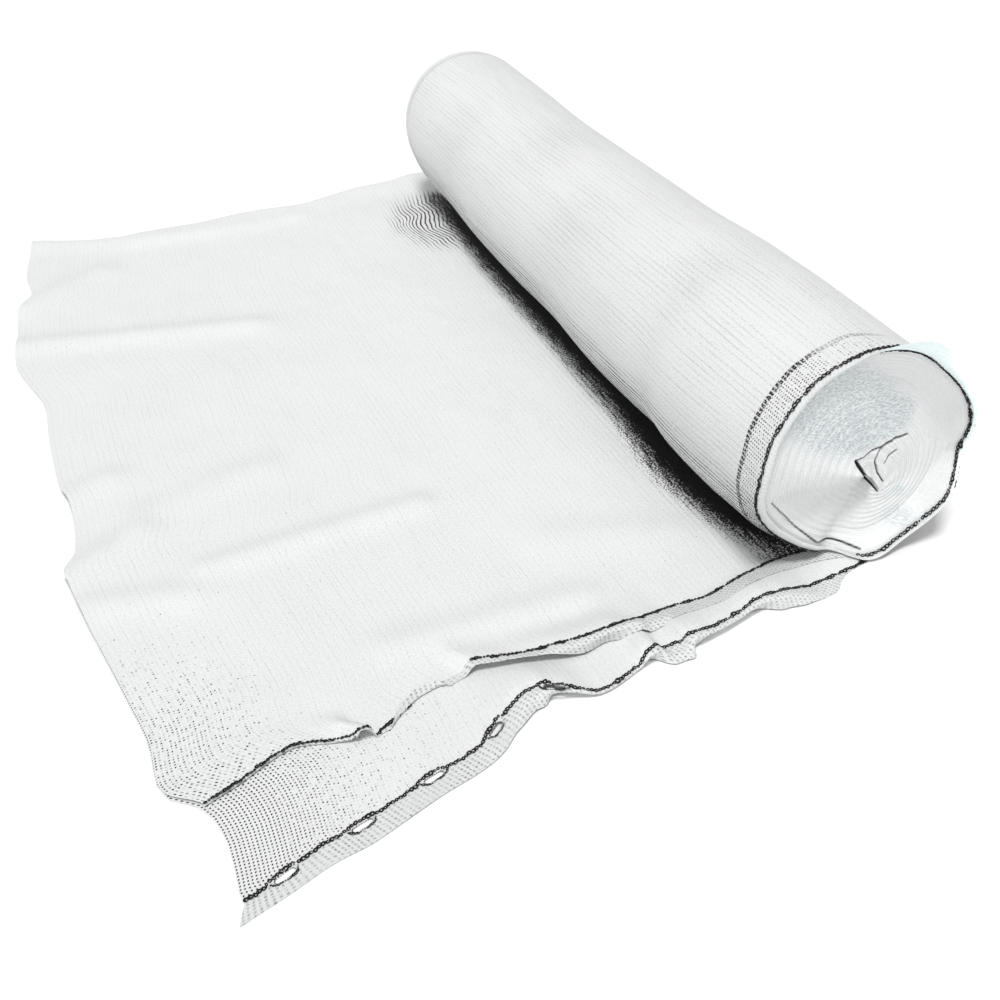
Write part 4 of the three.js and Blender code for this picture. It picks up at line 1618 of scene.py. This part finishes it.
@dataclass
class ChainWork(Piece):
    """A line of black chain stitches laid on a path.

    Attributes:
        stitch, width, yarn: length of a stitch, width of the line and radius of the yarn.
        rounds, sides: steps round a stitch and round its yarn.
        narrowing, narrows: how much a stitch narrows, over which share of its half length.
        climb: how much its tip is raised, in radii of the yarn.
        overlap: how much longer a stitch is than the space it has.
        tilt, tilt_more: how far stitches lean by turns, and how much further some do.
        sway, swell: how far the line sways and its size changes, over what lengths.
    """

    finishes: Finishes
    stitch: float = 5.6
    width: float = 6.2
    yarn: float = 0.95
    rounds: int = 10
    sides: int = 4
    narrowing: float = 0.45
    narrows: Span = (-0.2, 1.0)
    climb: float = 0.5
    overlap: float = 1.25
    tilt: float = 22
    tilt_more: float = 80
    sway: float = 2.0
    sway_length: float = 8
    swell: float = 0.8
    swell_length: float = 11

    def loop(self) -> bpy.types.Mesh:
        """Makes one stitch: a ring of yarn drawn out to a drop, lying along X.

        Returns:
            Its mesh, in millimetres.
        """
        bm = bmesh.new()
        ring = bmesh.ops.create_circle(bm, segments=self.sides, radius=self.yarn)["verts"]
        upright = Matrix.Rotation(math.pi / 2, 3, "X")
        bmesh.ops.rotate(bm, verts=ring, cent=(0, 0, 0), matrix=upright)
        bmesh.ops.translate(bm, verts=ring, vec=(self.width / 2 - self.yarn, 0, 0))
        bmesh.ops.spin(bm, geom=bm.verts[:] + bm.edges[:], cent=(0, 0, 0), axis=UP,
                       angle=2 * math.pi, steps=self.rounds, use_merge=True)
        bmesh.ops.remove_doubles(bm, verts=bm.verts[:], dist=0.001)
        bmesh.ops.recalc_face_normals(bm, faces=bm.faces[:])
        reach = self.width / 2
        for vert in bm.verts:
            vert.co.y *= 1 - self.narrowing * smoothstep(vert.co.x / reach, *self.narrows)
            vert.co.z += self.climb * self.yarn * vert.co.x / reach
            vert.co.x *= self.stitch * self.overlap / self.width
        stitch = bpy.data.meshes.new("stitch")
        bm.to_mesh(stitch)
        bm.free()
        return stitch

    def lay(self, name: str, runs: Sequence[Run], part: Part) -> bpy.types.Object:
        """Lays stitches along runs.

        Args:
            name: the piece's name.
            runs: the paths.
            part: the node that the piece stands for.

        Returns:
            The piece.
        """
        stitch = self.loop()
        bm = bmesh.new()
        for run in runs:
            count = max(round(run.length / (self.stitch * run.scale)), 1)
            for k in range(count):
                before = len(bm.verts)
                bm.from_mesh(stitch)
                bm.verts.ensure_lookup_table()
                self.shift(bm.verts[before:], run, (k + 0.5) * run.length / count, k)
        bpy.data.meshes.remove(stitch)
        bmesh.ops.recalc_face_normals(bm, faces=bm.faces[:])
        piece = smooth_object(name, bm, [self.finishes.black])
        return self.seat(piece, Slot.CHAIN, part)

    def shift(self, verts: Sequence[bmesh.types.BMVert], run: Run, middle: float, k: int) -> None:
        """Moves a stitch to its place on a run, a little uneven like its neighbours.

        Args:
            verts: the stitch's points.
            run: the path.
            middle: how far along it the stitch lies.
            k: the stitch's number.
        """
        sway = noise.noise(Vector((middle / self.sway_length, run.seed, 0.0))) * self.sway
        swell = noise.noise(Vector((middle / self.swell_length, run.seed, 5.0))) * self.swell
        lean = noise.noise(Vector((k * 0.73, run.seed, 9.0))) * self.tilt_more
        tilt = self.tilt * (1 if k % 2 else -1) + lean
        turn = Matrix.Rotation(math.radians(tilt), 3, "Z")
        for vert in verts:
            local = turn @ vert.co * (run.scale * (1 + swell))
            vert.co = run.place(middle + local.x, local.y + sway, local.z + run.raised) * MM


@dataclass
class GroundChains(Piece):
    """The two black lines of the loose end, and the forks round its eyelets.

    Attributes:
        fork: how far the outer line swings inboard past an eyelet.
        outer_fork, outer_start: how far out its thin branch swings, and how far in it starts.
        branch_more: how much longer than half an eyelet half a branch is.
        inner_end_x: where the inner line goes out of sight under the roll.
        covered: where it goes out of sight under the hem that is turned over it.
        beads, bead: how many beads of yarn bind an eyelet, and their radius.
        straight: how long the straight sides of a binding are.
    """

    selvedge: Selvedge
    loose: LooseNet
    finishes: Finishes
    steps: int = 300
    fork: float = 4.5
    outer_fork: float = 7.0
    outer_start: float = 1.5
    branch_steps: int = 12
    branch_more: float = 5
    branch_raised: float = 0.3
    inner_end_x: float = -18
    covered: Span = (-560, -494)
    beads: int = 56
    bead: float = 0.6
    bead_raised: float = 0.2
    straight: float = 2.5

    def swing(self, middle: Vector) -> float:
        """Finds how far the outer line swings inboard to pass the nearest eyelet.

        Args:
            middle: a place on the line's straight path.

        Returns:
            How far it swings there.
        """
        away = min((centre.xy - middle.xy).length for centre, _ in self.selvedge.eyelets)
        half = self.selvedge.eyelet_length / 2
        return self.fork * (1 - smoothstep(away, half - 2, 2 * half))

    def outer(self) -> bpy.types.Object:
        """Makes the outer line.

        Returns:
            The piece.
        """
        points = []
        for i in range(self.steps + 1):
            along = i / self.steps
            points.append(self.selvedge.point(along, -self.swing(self.selvedge.point(along, 0))))
        runs = [Run(points, [UP] * len(points))]
        for k, (centre, angle) in enumerate(self.selvedge.eyelets):
            runs.append(self.outer_branch(centre, angle, k))
        work = ChainWork(self.finishes, stitch=4.8, width=5.4)
        return work.lay("outer_line_stitches", runs, Part.OUTER_CHAIN)

    def outer_branch(self, centre: Vector, angle: float, k: int) -> Run:
        """Works out the thin branch that passes an eyelet on its outer side.

        Args:
            centre: the eyelet's middle.
            angle: the angle that it lies at.
            k: its number.

        Returns:
            The branch's path.
        """
        half = self.selvedge.eyelet_length / 2 + self.branch_more
        points = []
        for i in range(self.branch_steps + 1):
            share = i / self.branch_steps * 2 - 1
            out = self.outer_fork * (1 - share ** 4) - self.outer_start
            local = Vector((share * half, -out, self.branch_raised))
            local.rotate(Matrix.Rotation(angle, 3, "Z"))
            points.append(centre + local)
        return Run(points, [UP] * len(points), scale=0.5, raised=1.0, seed=k + 2.0)

    def inner(self) -> bpy.types.Object:
        """Makes the inner line, which goes out of sight where the hem is turned over it.

        Returns:
            The piece.
        """
        row = next(j for j, s in enumerate(self.loose.stations) if s.course is Course.HEM)
        path = [section[row].place for section in self.loose.sections]
        covered_from, covered_to = self.covered
        stretches = ([p for p in path if p.x < covered_from],
                     [p for p in path if covered_to < p.x < self.inner_end_x])
        runs = [Run(points, [UP] * len(points), seed=7.0 + i) for i, points in enumerate(stretches)]
        work = ChainWork(self.finishes, stitch=4.6, width=4.8, yarn=1.0, tilt=15)
        return work.lay("inner_line_stitches", runs, Part.INNER_CHAIN)

    def bindings(self) -> bpy.types.Object:
        """Makes the pale yarn that binds the open eyelets' edges.

        Returns:
            The piece.
        """
        bm = bmesh.new()
        radius = self.selvedge.eyelet_width / 2
        half = self.selvedge.eyelet_length / 2 - radius
        for centre, angle in self.selvedge.eyelets:
            for k in range(self.beads):
                turn = 2 * math.pi * k / self.beads
                local = Vector((math.cos(turn) * radius, math.sin(turn) * radius, self.bead_raised))
                local.x += half * max(-1.0, min(1.0, math.cos(turn) * self.straight))
                local.rotate(Matrix.Rotation(angle, 3, "Z"))
                bead = bmesh.ops.create_icosphere(bm, subdivisions=1, radius=self.bead * MM)["verts"]
                bmesh.ops.translate(bm, verts=bead, vec=(centre + local) * MM)
        piece = smooth_object("eyelet_bindings", bm, [self.finishes.grey])
        return self.seat(piece, Slot.NET)


class Dress(Enum):
    """The wound net's materials, by their slots."""

    BARREL = 0
    ENDS = 1
    HEM = 2


class Ring(NamedTuple):
    """A ring of points round the roll.

    Attributes:
        point: the ring's point at an angle.
        down: its distance across the cloth at an angle, from the near end's black line.
        dress: the material that it wears.
        inwards: how far it lies from the rim to the core on the near end face, or 0.
    """

    point: Callable[[float], Vector]
    down: Callable[[float], float]
    dress: Dress
    inwards: float = 0.0


class Turns(NamedTuple):
    """Turns that show on an end: how many, how deep, and where they come in and go out."""

    number: float
    depth: float
    shown: Hump

    def at(self, angle: float, share: float) -> float:
        """Their depth at an angle and a share of the way across the end."""
        wave = math.sin(2 * math.pi * (share * self.number + angle / 360))
        return self.depth * wave * hump(share, *self.shown)


class Lumps(NamedTuple):
    """Soft lumps about the axis: their height, their number round it and their length."""

    height: float
    number: float
    length: float

    def at(self, angle: float, along: float) -> float:
        """Their height at an angle and a place along."""
        x, y = on_oval(angle, self.number, -self.number)
        return self.height * noise.noise(Vector((x, y, along / self.length)))


def dent_share(dent: DentRow, angle: float, y: float) -> float:
    """How deep in a dent a place on the barrel is, from 0 to 1."""
    away = math.hypot((y - dent.y) / dent.length, within_turn(angle - dent.angle) / dent.spread)
    return math.exp(-away * away)


class SlitRun(NamedTuple):
    """A straight stretch of a slit, between two rows."""

    start: SlitRow
    end: SlitRow
    soft: float = 1.3

    def share(self, x: float, z: float) -> float:
        """Finds how far in the slit a place on the near end face is.

        Args:
            x, z: the place.

        Returns:
            From 0 to 1.
        """
        dx, dz = self.end.x - self.start.x, self.end.z - self.start.z
        from_x, from_z = x - self.start.x, z - self.start.z
        along = min(max((from_x * dx + from_z * dz) / (dx * dx + dz * dz), 0.0), 1.0)
        away = math.hypot(from_x - dx * along, from_z - dz * along)
        half = lerp(self.start.width, self.end.width, along) / 2
        return 1 - smoothstep(away, half, half + self.soft)


SLIT_RUNS = tuple(SlitRun(a, b) for a, b in zip(SLITS, SLITS[1:]) if a.slit == b.slit)


def slit_share(x: float, z: float) -> float:
    """How far in a slit between the turns a place on the near end face is, from 0 to 1."""
    return max(run.share(x, z) for run in SLIT_RUNS)


def cool_shade_share(x: float, z: float) -> float:
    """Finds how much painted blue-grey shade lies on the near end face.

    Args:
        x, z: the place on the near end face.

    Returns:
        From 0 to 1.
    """
    share = 0.0
    for patch in PATCHES:
        turn = math.radians(patch.turn)
        dx, dz = x - patch.x, z - patch.z
        across = dx * math.cos(turn) + dz * math.sin(turn)
        up = dz * math.cos(turn) - dx * math.sin(turn)
        reach = math.hypot(across / patch.wide, up / patch.high)
        share = max(share, patch.strength * (1 - smoothstep(reach, 1 - patch.soft, 1)))
    return share


@cache
def rim_at(angle: float) -> RimRow:
    """The last turn at an angle."""
    graphs = (Graph.of(RIM, "angle", name) for name in RimRow._fields[1:])
    return RimRow(angle, *(graph.smooth(angle) for graph in graphs))


@dataclass(frozen=True)
class RollPaint:
    """What the wound net's points carry for the finishes.

    A span says where a thing starts to come in or go out, and where it has done so.

    Attributes:
        under, ribs: the underside's painted shade and the painted shade in its lines, by the angle's cosine.
        flank, free: the band towards the loose end, and the rim that stands free, by angle.
        top_in: the band over the top, by the angle's size.
        band_out: the open mesh of the band, by the distance from the black line.
        slit_in: the slits, by the way in from the face's edge.
        shade, rib, dent: most that the underside's painted shade, the painted shade in its lines and the
            painted shade in a dent come to.
        open_least, open_more: how open the mesh is, and how much more in the band.
        top_open, top_band: the shares of the mesh and of the band that show over the top.
    """

    under: Span = (0.12, 0.75)
    line_shade_in: Span = (-0.05, 0.5)
    flank: Hump = (-178, -150, -60, -20)
    free: Hump = (40, 90, 172, 179)
    top_in: Span = (158, 172)
    band_out: Span = (40, 52)
    slit_in: Span = (0.02, 0.06)
    shade: float = 0.5
    rib: float = 1.9
    dent: float = 0.07
    open_least: float = 0.02
    open_more: float = 0.38
    top_open: float = 0.5
    top_band: float = 0.45

    def barrel(self, angle: float, y: float, down: float) -> dict[str, float]:
        """Works out what a point of the barrel carries.

        Args:
            angle, y: where it is round the roll and along it.
            down: its distance from the black line.

        Returns:
            Each attribute's value.
        """
        upright = math.cos(math.radians(angle))
        flank = hump(angle, *self.flank)
        top = smoothstep(abs(angle), *self.top_in)
        near = 1 - smoothstep(down, *self.band_out)
        # Painted shade towards the underside: the tone darker and nearer black, and the course lines darker.
        return {
            "open": self.open_least + self.open_more * near * max(flank, top * self.top_open),
            "shade": self.shade * smoothstep(upright, *self.under),
            # Painted shade in the dents.
            "soft": sum(self.dent * dent_share(dent, angle, y) for dent in DENTS),
            "band": max(flank, top * self.top_band),
            "rib": self.rib * smoothstep(upright, *self.line_shade_in),
        }

    def rim(self, angle: float) -> dict[str, float]:
        """What a point of the rim's hem carries."""
        free = hump(angle, *self.free)
        return {"thin": free, "band": 1 - free}

    def face(self, place: Vector, inwards: float) -> dict[str, float]:
        """What a point of the near end face carries."""
        slit = slit_share(place.x, place.z) * smoothstep(inwards, *self.slit_in)
        return {"cool": cool_shade_share(place.x, place.z), "slit": slit}


@dataclass
class WoundNet(Piece):
    """The wound net, with the last turn's rim standing proud at the near end.

    Attributes:
        columns: points round the roll; the steps are rings of each stretch.
        far_crowding, face_crowding: how the rings crowd to the far end's edge and to the core.
        bed_height, flat_depth: the height that it rests at, and how much of it is flattened.
        barrel_far, barrel_near: where the barrel starts, and where the band next to the rim does.
        side_angle: the angle at which the sections' side radius holds.
        barrel_lumps, face_folds: the soft lumps of the barrel and folds of the near end.
        far_turns, face_turns: the turns that show on the ends.
        rim_step, rim_lip: across the cloth, from ring to ring and round the hem's end.
        rim_splay: how far the rim's inner side leans out at the hem.
        face_gap, face_inset: from the last turn and from its line in to the face.
        face_bulge, face_span: how far in its bulge reaches, and how far across the cloth it counts.
        core_x, core_z: the pinched core's middle, from the axis; core_depth is how far in it lies.
        slit_depth, slit_in: depth of the slits, and where it comes in on the way in.
        outer_arc, inner_arc: angles that the black line runs between, outside and inside.
    """

    finishes: Finishes
    lie: Lie
    paints: RollPaint = RollPaint()
    columns: int = 360
    far_steps: int = 36
    far_crowding: float = 1.4
    barrel_steps: int = 90
    band_steps: int = 12
    rim_steps: int = 5
    face_steps: int = 96
    face_crowding: float = 1.2
    run_steps: int = 160
    radius: float = 143
    bed_height: float = 4.5
    flat_depth: float = 4
    barrel_far: float = 722
    barrel_near: float = -690
    side_angle: float = -54
    barrel_lumps: Lumps = Lumps(0.9, 3.2, 260)
    far_turns: Turns = Turns(17, 1.1, (0.02, 0.12, 0.9, 1))
    rim_thickness: float = 3.0
    rim_step: float = 4.0
    rim_lip: float = 1.0
    rim_splay: float = 0.5
    face_gap: float = 1.0
    face_inset: float = 3
    face_bulge: float = 0.24
    face_span: float = 120
    face_turns: Turns = Turns(13, 0.45, (0, 0.08, 0.93, 1))
    face_folds: Lumps = Lumps(1.2, 2.2, 0.25)
    core_x: float = 37
    core_z: float = -48
    core_half_length: float = 22
    core_half_height: float = 1.2
    core_tilt: float = -59
    core_depth: float = 9
    slit_depth: float = 4.5
    slit_in: Span = (0.1, 0.3)
    outer_arc: Span = (12, 346)
    inner_arc: Span = (4, 176)
    line_raised: float = 0.9
    side_radius: Graph = Graph.of(SECTIONS, "y", "side")
    top_radius: Graph = Graph.of(SECTIONS, "y", "top")
    far_profile: Graph = Graph.of(FAR_PROFILE, "reach", "y")

    @property
    def axis_height(self) -> float:
        """Height of the roll's axis."""
        return self.bed_height + self.radius - self.flat_depth

    def barrel_radius(self, angle: float, y: float) -> float:
        """Finds the roll's radius.

        Args:
            angle, y: the place round the roll and along it.

        Returns:
            The radius there.
        """
        towards_top = 0.5 - 0.5 * math.cos(math.radians(angle - self.side_angle))
        full = lerp(self.side_radius.smooth(y), self.top_radius.smooth(y), towards_top)
        dented = sum(dent.depth * dent_share(dent, angle, y) for dent in DENTS)
        rim = rim_at(angle)
        drawn = rim.drawn * smoothstep(-y, -self.barrel_near, -rim.chain)
        return full - dented + self.barrel_lumps.at(angle, y) + drawn

    def about_axis(self, radius: float, angle: float, y: float) -> Vector:
        """A point from its distance and angle about the axis, never below the roll's bed."""
        x, rise = on_oval(angle, radius, radius)
        return Vector((x, y, max(self.axis_height + rise, self.bed_height)))

    def barrel_point(self, angle: float, y: float) -> Vector:
        """A point of the barrel."""
        return self.about_axis(self.barrel_radius(angle, y), angle, y)

    def far_point(self, angle: float, reach: float) -> Vector:
        """Finds a point of the far end, where the folded edges lie in soft turns.

        Args:
            angle: where it is round the roll.
            reach: from the middle (0) to the edge (1).

        Returns:
            The point.
        """
        y = self.far_profile.smooth(reach) + self.far_turns.at(angle, reach)
        return self.about_axis(self.barrel_radius(angle, y) * reach, angle, y)

    def rim_point(self, angle: float, share: float, inside: float) -> Vector:
        """Finds a point of the last turn's rim.

        Args:
            angle: where it is round the roll.
            share: from the black line (0) to the hem's end (1).
            inside: how far it lies in from the rim's outer side.

        Returns:
            The point.
        """
        rim = rim_at(angle)
        y = lerp(rim.chain, rim.edge, share)
        radius = self.barrel_radius(angle, y) + rim.lean * share * share - inside
        return self.about_axis(radius, angle, y + self.rim_splay * inside * share)

    def face_point(self, angle: float, inwards: float) -> Vector:
        """Finds a point of the near end face.

        Args:
            angle: where it is round the roll.
            inwards: from the face's edge (0) to the pinched core (1).

        Returns:
            The point.
        """
        rim = rim_at(angle)
        radius = self.barrel_radius(angle, rim.chain) - self.rim_thickness - self.face_gap
        edge = self.about_axis(radius, angle, rim.face)
        edge.z = max(edge.z, self.bed_height + self.lie.layer)
        core = Vector(on_oval(angle, self.core_half_length, self.core_half_height))
        core.rotate(Matrix.Rotation(math.radians(self.core_tilt), 2))
        middle = Vector((self.core_x + core.x, rim.face, self.axis_height + self.core_z + core.y))
        place = edge.lerp(middle, inwards)
        bulge = 1 - smoothstep(inwards, 0, self.face_bulge)
        proud = (rim.face - rim.chain - self.face_inset) * bulge
        place.y = rim.face - proud + self.core_depth * math.sin(math.pi / 2 * inwards)
        slit = slit_share(place.x, place.z) * smoothstep(inwards, *self.slit_in)
        folds = self.face_folds.at(angle, inwards) * hump(inwards, *self.face_turns.shown)
        place.y += self.face_turns.at(angle, inwards) + folds + self.slit_depth * slit
        return place

    def far_ring(self, reach: float) -> Ring:
        """A ring of the far end."""
        return Ring(lambda angle: self.far_point(angle, reach), lambda angle: reach * self.radius, Dress.ENDS)

    def barrel_y(self, share: float, angle: float) -> float:
        """A place along the barrel, from its far end (0) to the band (1)."""
        return lerp(self.barrel_far, self.barrel_near, share)

    def band_y(self, share: float, angle: float) -> float:
        """A place along the band, from the barrel (0) to the rim's black line (1)."""
        return lerp(self.barrel_near, rim_at(angle).chain, share)

    def barrel_ring(self, y: Callable[[float], float]) -> Ring:
        """A ring of the barrel, at the place along the roll that y gives at each angle."""
        return Ring(lambda angle: self.barrel_point(angle, y(angle)),
                    lambda angle: y(angle) - rim_at(angle).chain, Dress.BARREL)

    def rim_ring(self, share: float, inside: float, out: float) -> Ring:
        """A ring of the rim, so far out across the cloth from the black line."""
        return Ring(lambda angle: self.rim_point(angle, share, inside), lambda angle: -out, Dress.HEM)

    def face_ring(self, inwards: float) -> Ring:
        """A ring of the near end face."""
        return Ring(lambda angle: self.face_point(angle, inwards), lambda angle: inwards * self.face_span,
                    Dress.ENDS, inwards)

    def rings(self) -> list[Ring]:
        """Sets out the rings.

        Returns:
            The rings from the far end's middle, over the barrel and the rim, to the core.
        """
        far = [1 - (1 - i / self.far_steps) ** self.far_crowding for i in range(self.far_steps + 1)]
        inwards = [1 - (1 - i / self.face_steps) ** self.face_crowding for i in range(self.face_steps)]
        rings = [self.far_ring(reach) for reach in far]
        for steps, y in ((self.barrel_steps, self.barrel_y), (self.band_steps, self.band_y)):
            rings += [self.barrel_ring(partial(y, i / steps)) for i in range(1, steps + 1)]
        for i in range(1, self.rim_steps + 1):
            rings.append(self.rim_ring(i / self.rim_steps, 0, i * self.rim_step))
        back = self.rim_steps * self.rim_step + self.rim_lip
        for i in range(self.rim_steps + 1):
            share = 1 - i / self.rim_steps
            rings.append(self.rim_ring(share, self.rim_thickness, back + i * self.rim_step))
        rings += [self.face_ring(share) for share in inwards]
        core = Vector((self.core_x, rim_at(0).face + self.core_depth, self.axis_height + self.core_z))
        rings.append(Ring(lambda angle: core, lambda angle: self.face_span, Dress.ENDS, 1.0))
        return rings

    def build(self) -> bpy.types.Object:
        """Makes the roll from a ball whose rows are set out on the rings.

        Returns:
            The piece.
        """
        rings = self.rings()
        rows = len(rings) - 1
        bm = bmesh.new()
        bmesh.ops.create_uvsphere(bm, u_segments=self.columns, v_segments=rows, radius=1)
        painted = {name: bm.verts.layers.float.new(name)
                   for name in ("open", "shade", "soft", "band", "slit", "cool", "thin", "rib")}
        where: dict[int, tuple[int, float]] = {}
        for vert in bm.verts:
            row = round(math.acos(max(-1.0, min(1.0, vert.co.z))) / math.pi * rows)
            step = round(math.degrees(math.atan2(vert.co.y, vert.co.x)) * self.columns / 360)
            angle = within_turn(step * 360 / self.columns)
            where[vert.index] = (row, angle)
            place = rings[row].point(angle)
            vert.co = place * MM
            for name, value in self.paint(rings[row], angle, place).items():
                vert[painted[name]] = value
        self.unroll(bm, rings, where)
        bmesh.ops.recalc_face_normals(bm, faces=bm.faces[:])
        materials = [self.finishes.barrel, self.finishes.ends, self.finishes.hem]
        piece = smooth_object("wound_net_cloth", bm, materials)
        return self.seat(piece, Slot.NET, Part.ROLL)

    def unroll(self, bm: bmesh.types.BMesh, rings: Sequence[Ring],
               where: Mapping[int, tuple[int, float]]) -> None:
        """Gives each face its material and its place in the flat cloth.

        Args:
            bm: the mesh.
            rings: the rings that it is set out on.
            where: each point's ring, by number, and its angle.
        """
        layer = bm.loops.layers.uv.new("lie")
        poles = (0, len(rings) - 1)
        for face in bm.faces:
            worn = [rings[where[v.index][0]].dress.value for v in face.verts]
            face.material_index = 0 if 0 in worn else max(worn)
            angles = [where[v.index][1] for v in face.verts if where[v.index][0] not in poles]
            wraps = max(angles) - min(angles) > 180
            angles = [a + 360 if wraps and a < 0 else a for a in angles]
            for loop in face.loops:
                row, angle = where[loop.vert.index]
                down = rings[row].down(angle)
                angle = angle + 360 if wraps and angle < 0 else angle
                if row in poles:
                    angle = sum(angles) / len(angles)
                loop[layer].uv = Vector((math.radians(angle) * self.radius, down)) * MM

    def paint(self, ring: Ring, angle: float, place: Vector) -> dict[str, float]:
        """Works out what a point carries for the finishes.

        Args:
            ring: the point's ring.
            angle: where it is round the roll.
            place: the point, in millimetres.

        Returns:
            Each attribute's value.
        """
        if ring.dress is Dress.BARREL:
            return self.paints.barrel(angle, place.y, ring.down(angle))
        if ring.dress is Dress.HEM:
            return self.paints.rim(angle)
        return self.paints.face(place, ring.inwards) if ring.inwards > 0 else {}

    def rim_run(self, arc: Span, inside: float, seed: float) -> Run:
        """Works out a path along the last turn's black line.

        Args:
            arc: the angles that it runs between.
            inside: how far in from the rim's outer side it lies.
            seed: sets the stitches' wavering.

        Returns:
            The path.
        """
        points, outs = [], []
        for i in range(self.run_steps + 1):
            angle = within_turn(lerp(*arc, i / self.run_steps))
            points.append(self.rim_point(angle, 0, inside))
            x, z = on_oval(angle, 1, 1)
            outs.append(Vector((-x, 0, -z) if inside else (x, 0, z)))
        return Run(points, outs, seed=seed, raised=self.line_raised)

    def rim_line(self) -> bpy.types.Object:
        """Makes the black line round the last turn, on both sides of the cloth.

        Returns:
            The piece.
        """
        outer = self.rim_run(self.outer_arc, 0, 11.0)
        inner = self.rim_run(self.inner_arc, self.rim_thickness, 13.0)
        return ChainWork(self.finishes).lay("rim_line_stitches", [outer, inner], Part.RIM_CHAIN)


@dataclass(frozen=True)
class Studio:
    """A pale floor, soft light and the camera at the photo's angle. Lengths are in metres.

    Attributes:
        eye: where the camera stands.
        heading, pitch, roll: how it is turned from +Y towards +X, tilted and rolled, in radians.
        focal, sensor: its focal length in image widths, and its sensor's width in millimetres.
        daylight: strength of the light from all round.
        key_from, key_spread, key_power: the direction that the key light comes from, how wide
            it is in degrees and how strong; fill is the weaker light on the near end.
    """

    finishes: Finishes
    eye: tuple[float, float, float] = (-0.7653, -1.7901, 0.9391)
    heading: float = 0.3014
    pitch: float = -0.5879
    roll: float = -0.0692
    focal: float = 1.24941
    sensor: float = 36.0
    floor_half: float = 14.0
    daylight: float = 0.5
    key_from: tuple[float, float, float] = (-0.2, -0.36, 1.0)
    key_spread: float = 14.0
    key_power: float = 2.2
    fill_from: tuple[float, float, float] = (-0.6, -1.0, 0.35)
    fill_spread: float = 60.0
    fill_power: float = 0.6

    def camera(self) -> None:
        """Sets up the camera."""
        ahead = Vector((math.sin(self.heading), math.cos(self.heading), 0)) * math.cos(self.pitch)
        ahead.z = math.sin(self.pitch)
        right = ahead.cross(UP).normalized()
        up = right.cross(ahead)
        across = right * math.cos(self.roll) + up * math.sin(self.roll)
        upright = up * math.cos(self.roll) - right * math.sin(self.roll)
        data = bpy.data.cameras.new("camera")
        data.sensor_width = self.sensor
        data.lens = self.focal * self.sensor
        camera = bpy.data.objects.new("camera", data)
        turn = Matrix((across, upright, -ahead)).transposed().to_4x4()
        camera.matrix_world = Matrix.Translation(Vector(self.eye)) @ turn
        bpy.context.scene.collection.objects.link(camera)
        bpy.context.scene.camera = camera

    def floor(self) -> None:
        """Lays the floor."""
        bm = bmesh.new()
        bmesh.ops.create_grid(bm, x_segments=2, y_segments=2, size=self.floor_half)
        floor = smooth_object("floor", bm, [self.finishes.floor])

    def lamp(self, name: str, source: Sequence[float], spread: float, power: float) -> None:
        """Hangs a far lamp.

        Args:
            name: its name.
            source: the direction that its light comes from.
            spread: how wide it is, in degrees.
            power: how strong it is.
        """
        data = bpy.data.lights.new(name, "SUN")
        data.angle = math.radians(spread)
        data.energy = power
        lamp = bpy.data.objects.new(name, data)
        lamp.rotation_euler = Vector(source).to_track_quat("Z", "Y").to_euler()
        bpy.context.scene.collection.objects.link(lamp)

    def light(self) -> None:
        """Lights the scene evenly, with a soft key light from above the near end."""
        world = bpy.data.worlds.new("studio")
        world.use_nodes = True
        colour, strength = world.node_tree.nodes["Background"].inputs[:2]
        colour.default_value = (1, 1, 1, 1)
        strength.default_value = self.daylight
        bpy.context.scene.world = world
        bpy.context.scene.view_settings.view_transform = "Standard"
        self.lamp("key", self.key_from, self.key_spread, self.key_power)
        self.lamp("fill", self.fill_from, self.fill_spread, self.fill_power)

    def build(self) -> None:
        """Sets up the whole studio."""
        self.camera()
        self.floor()
        self.light()


def main() -> None:
    """Builds the studio and every piece of the roll."""
    logging.basicConfig(level=logging.INFO, format="%(name)s %(message)s")
    finishes = Finishes()
    Studio(finishes).build()
    lie = Lie()
    roll = WoundNet(finishes, lie)
    loose = LooseNet(lie, finishes)
    selvedge = Selvedge(lie, finishes)
    chains = GroundChains(selvedge, loose, finishes)
    roll.build()
    roll.rim_line()
    cloth = loose.build()
    strip = selvedge.build()
    outer = chains.outer()
    inner = chains.inner()
    bindings = chains.bindings()


if __name__ == "__main__":
    main()
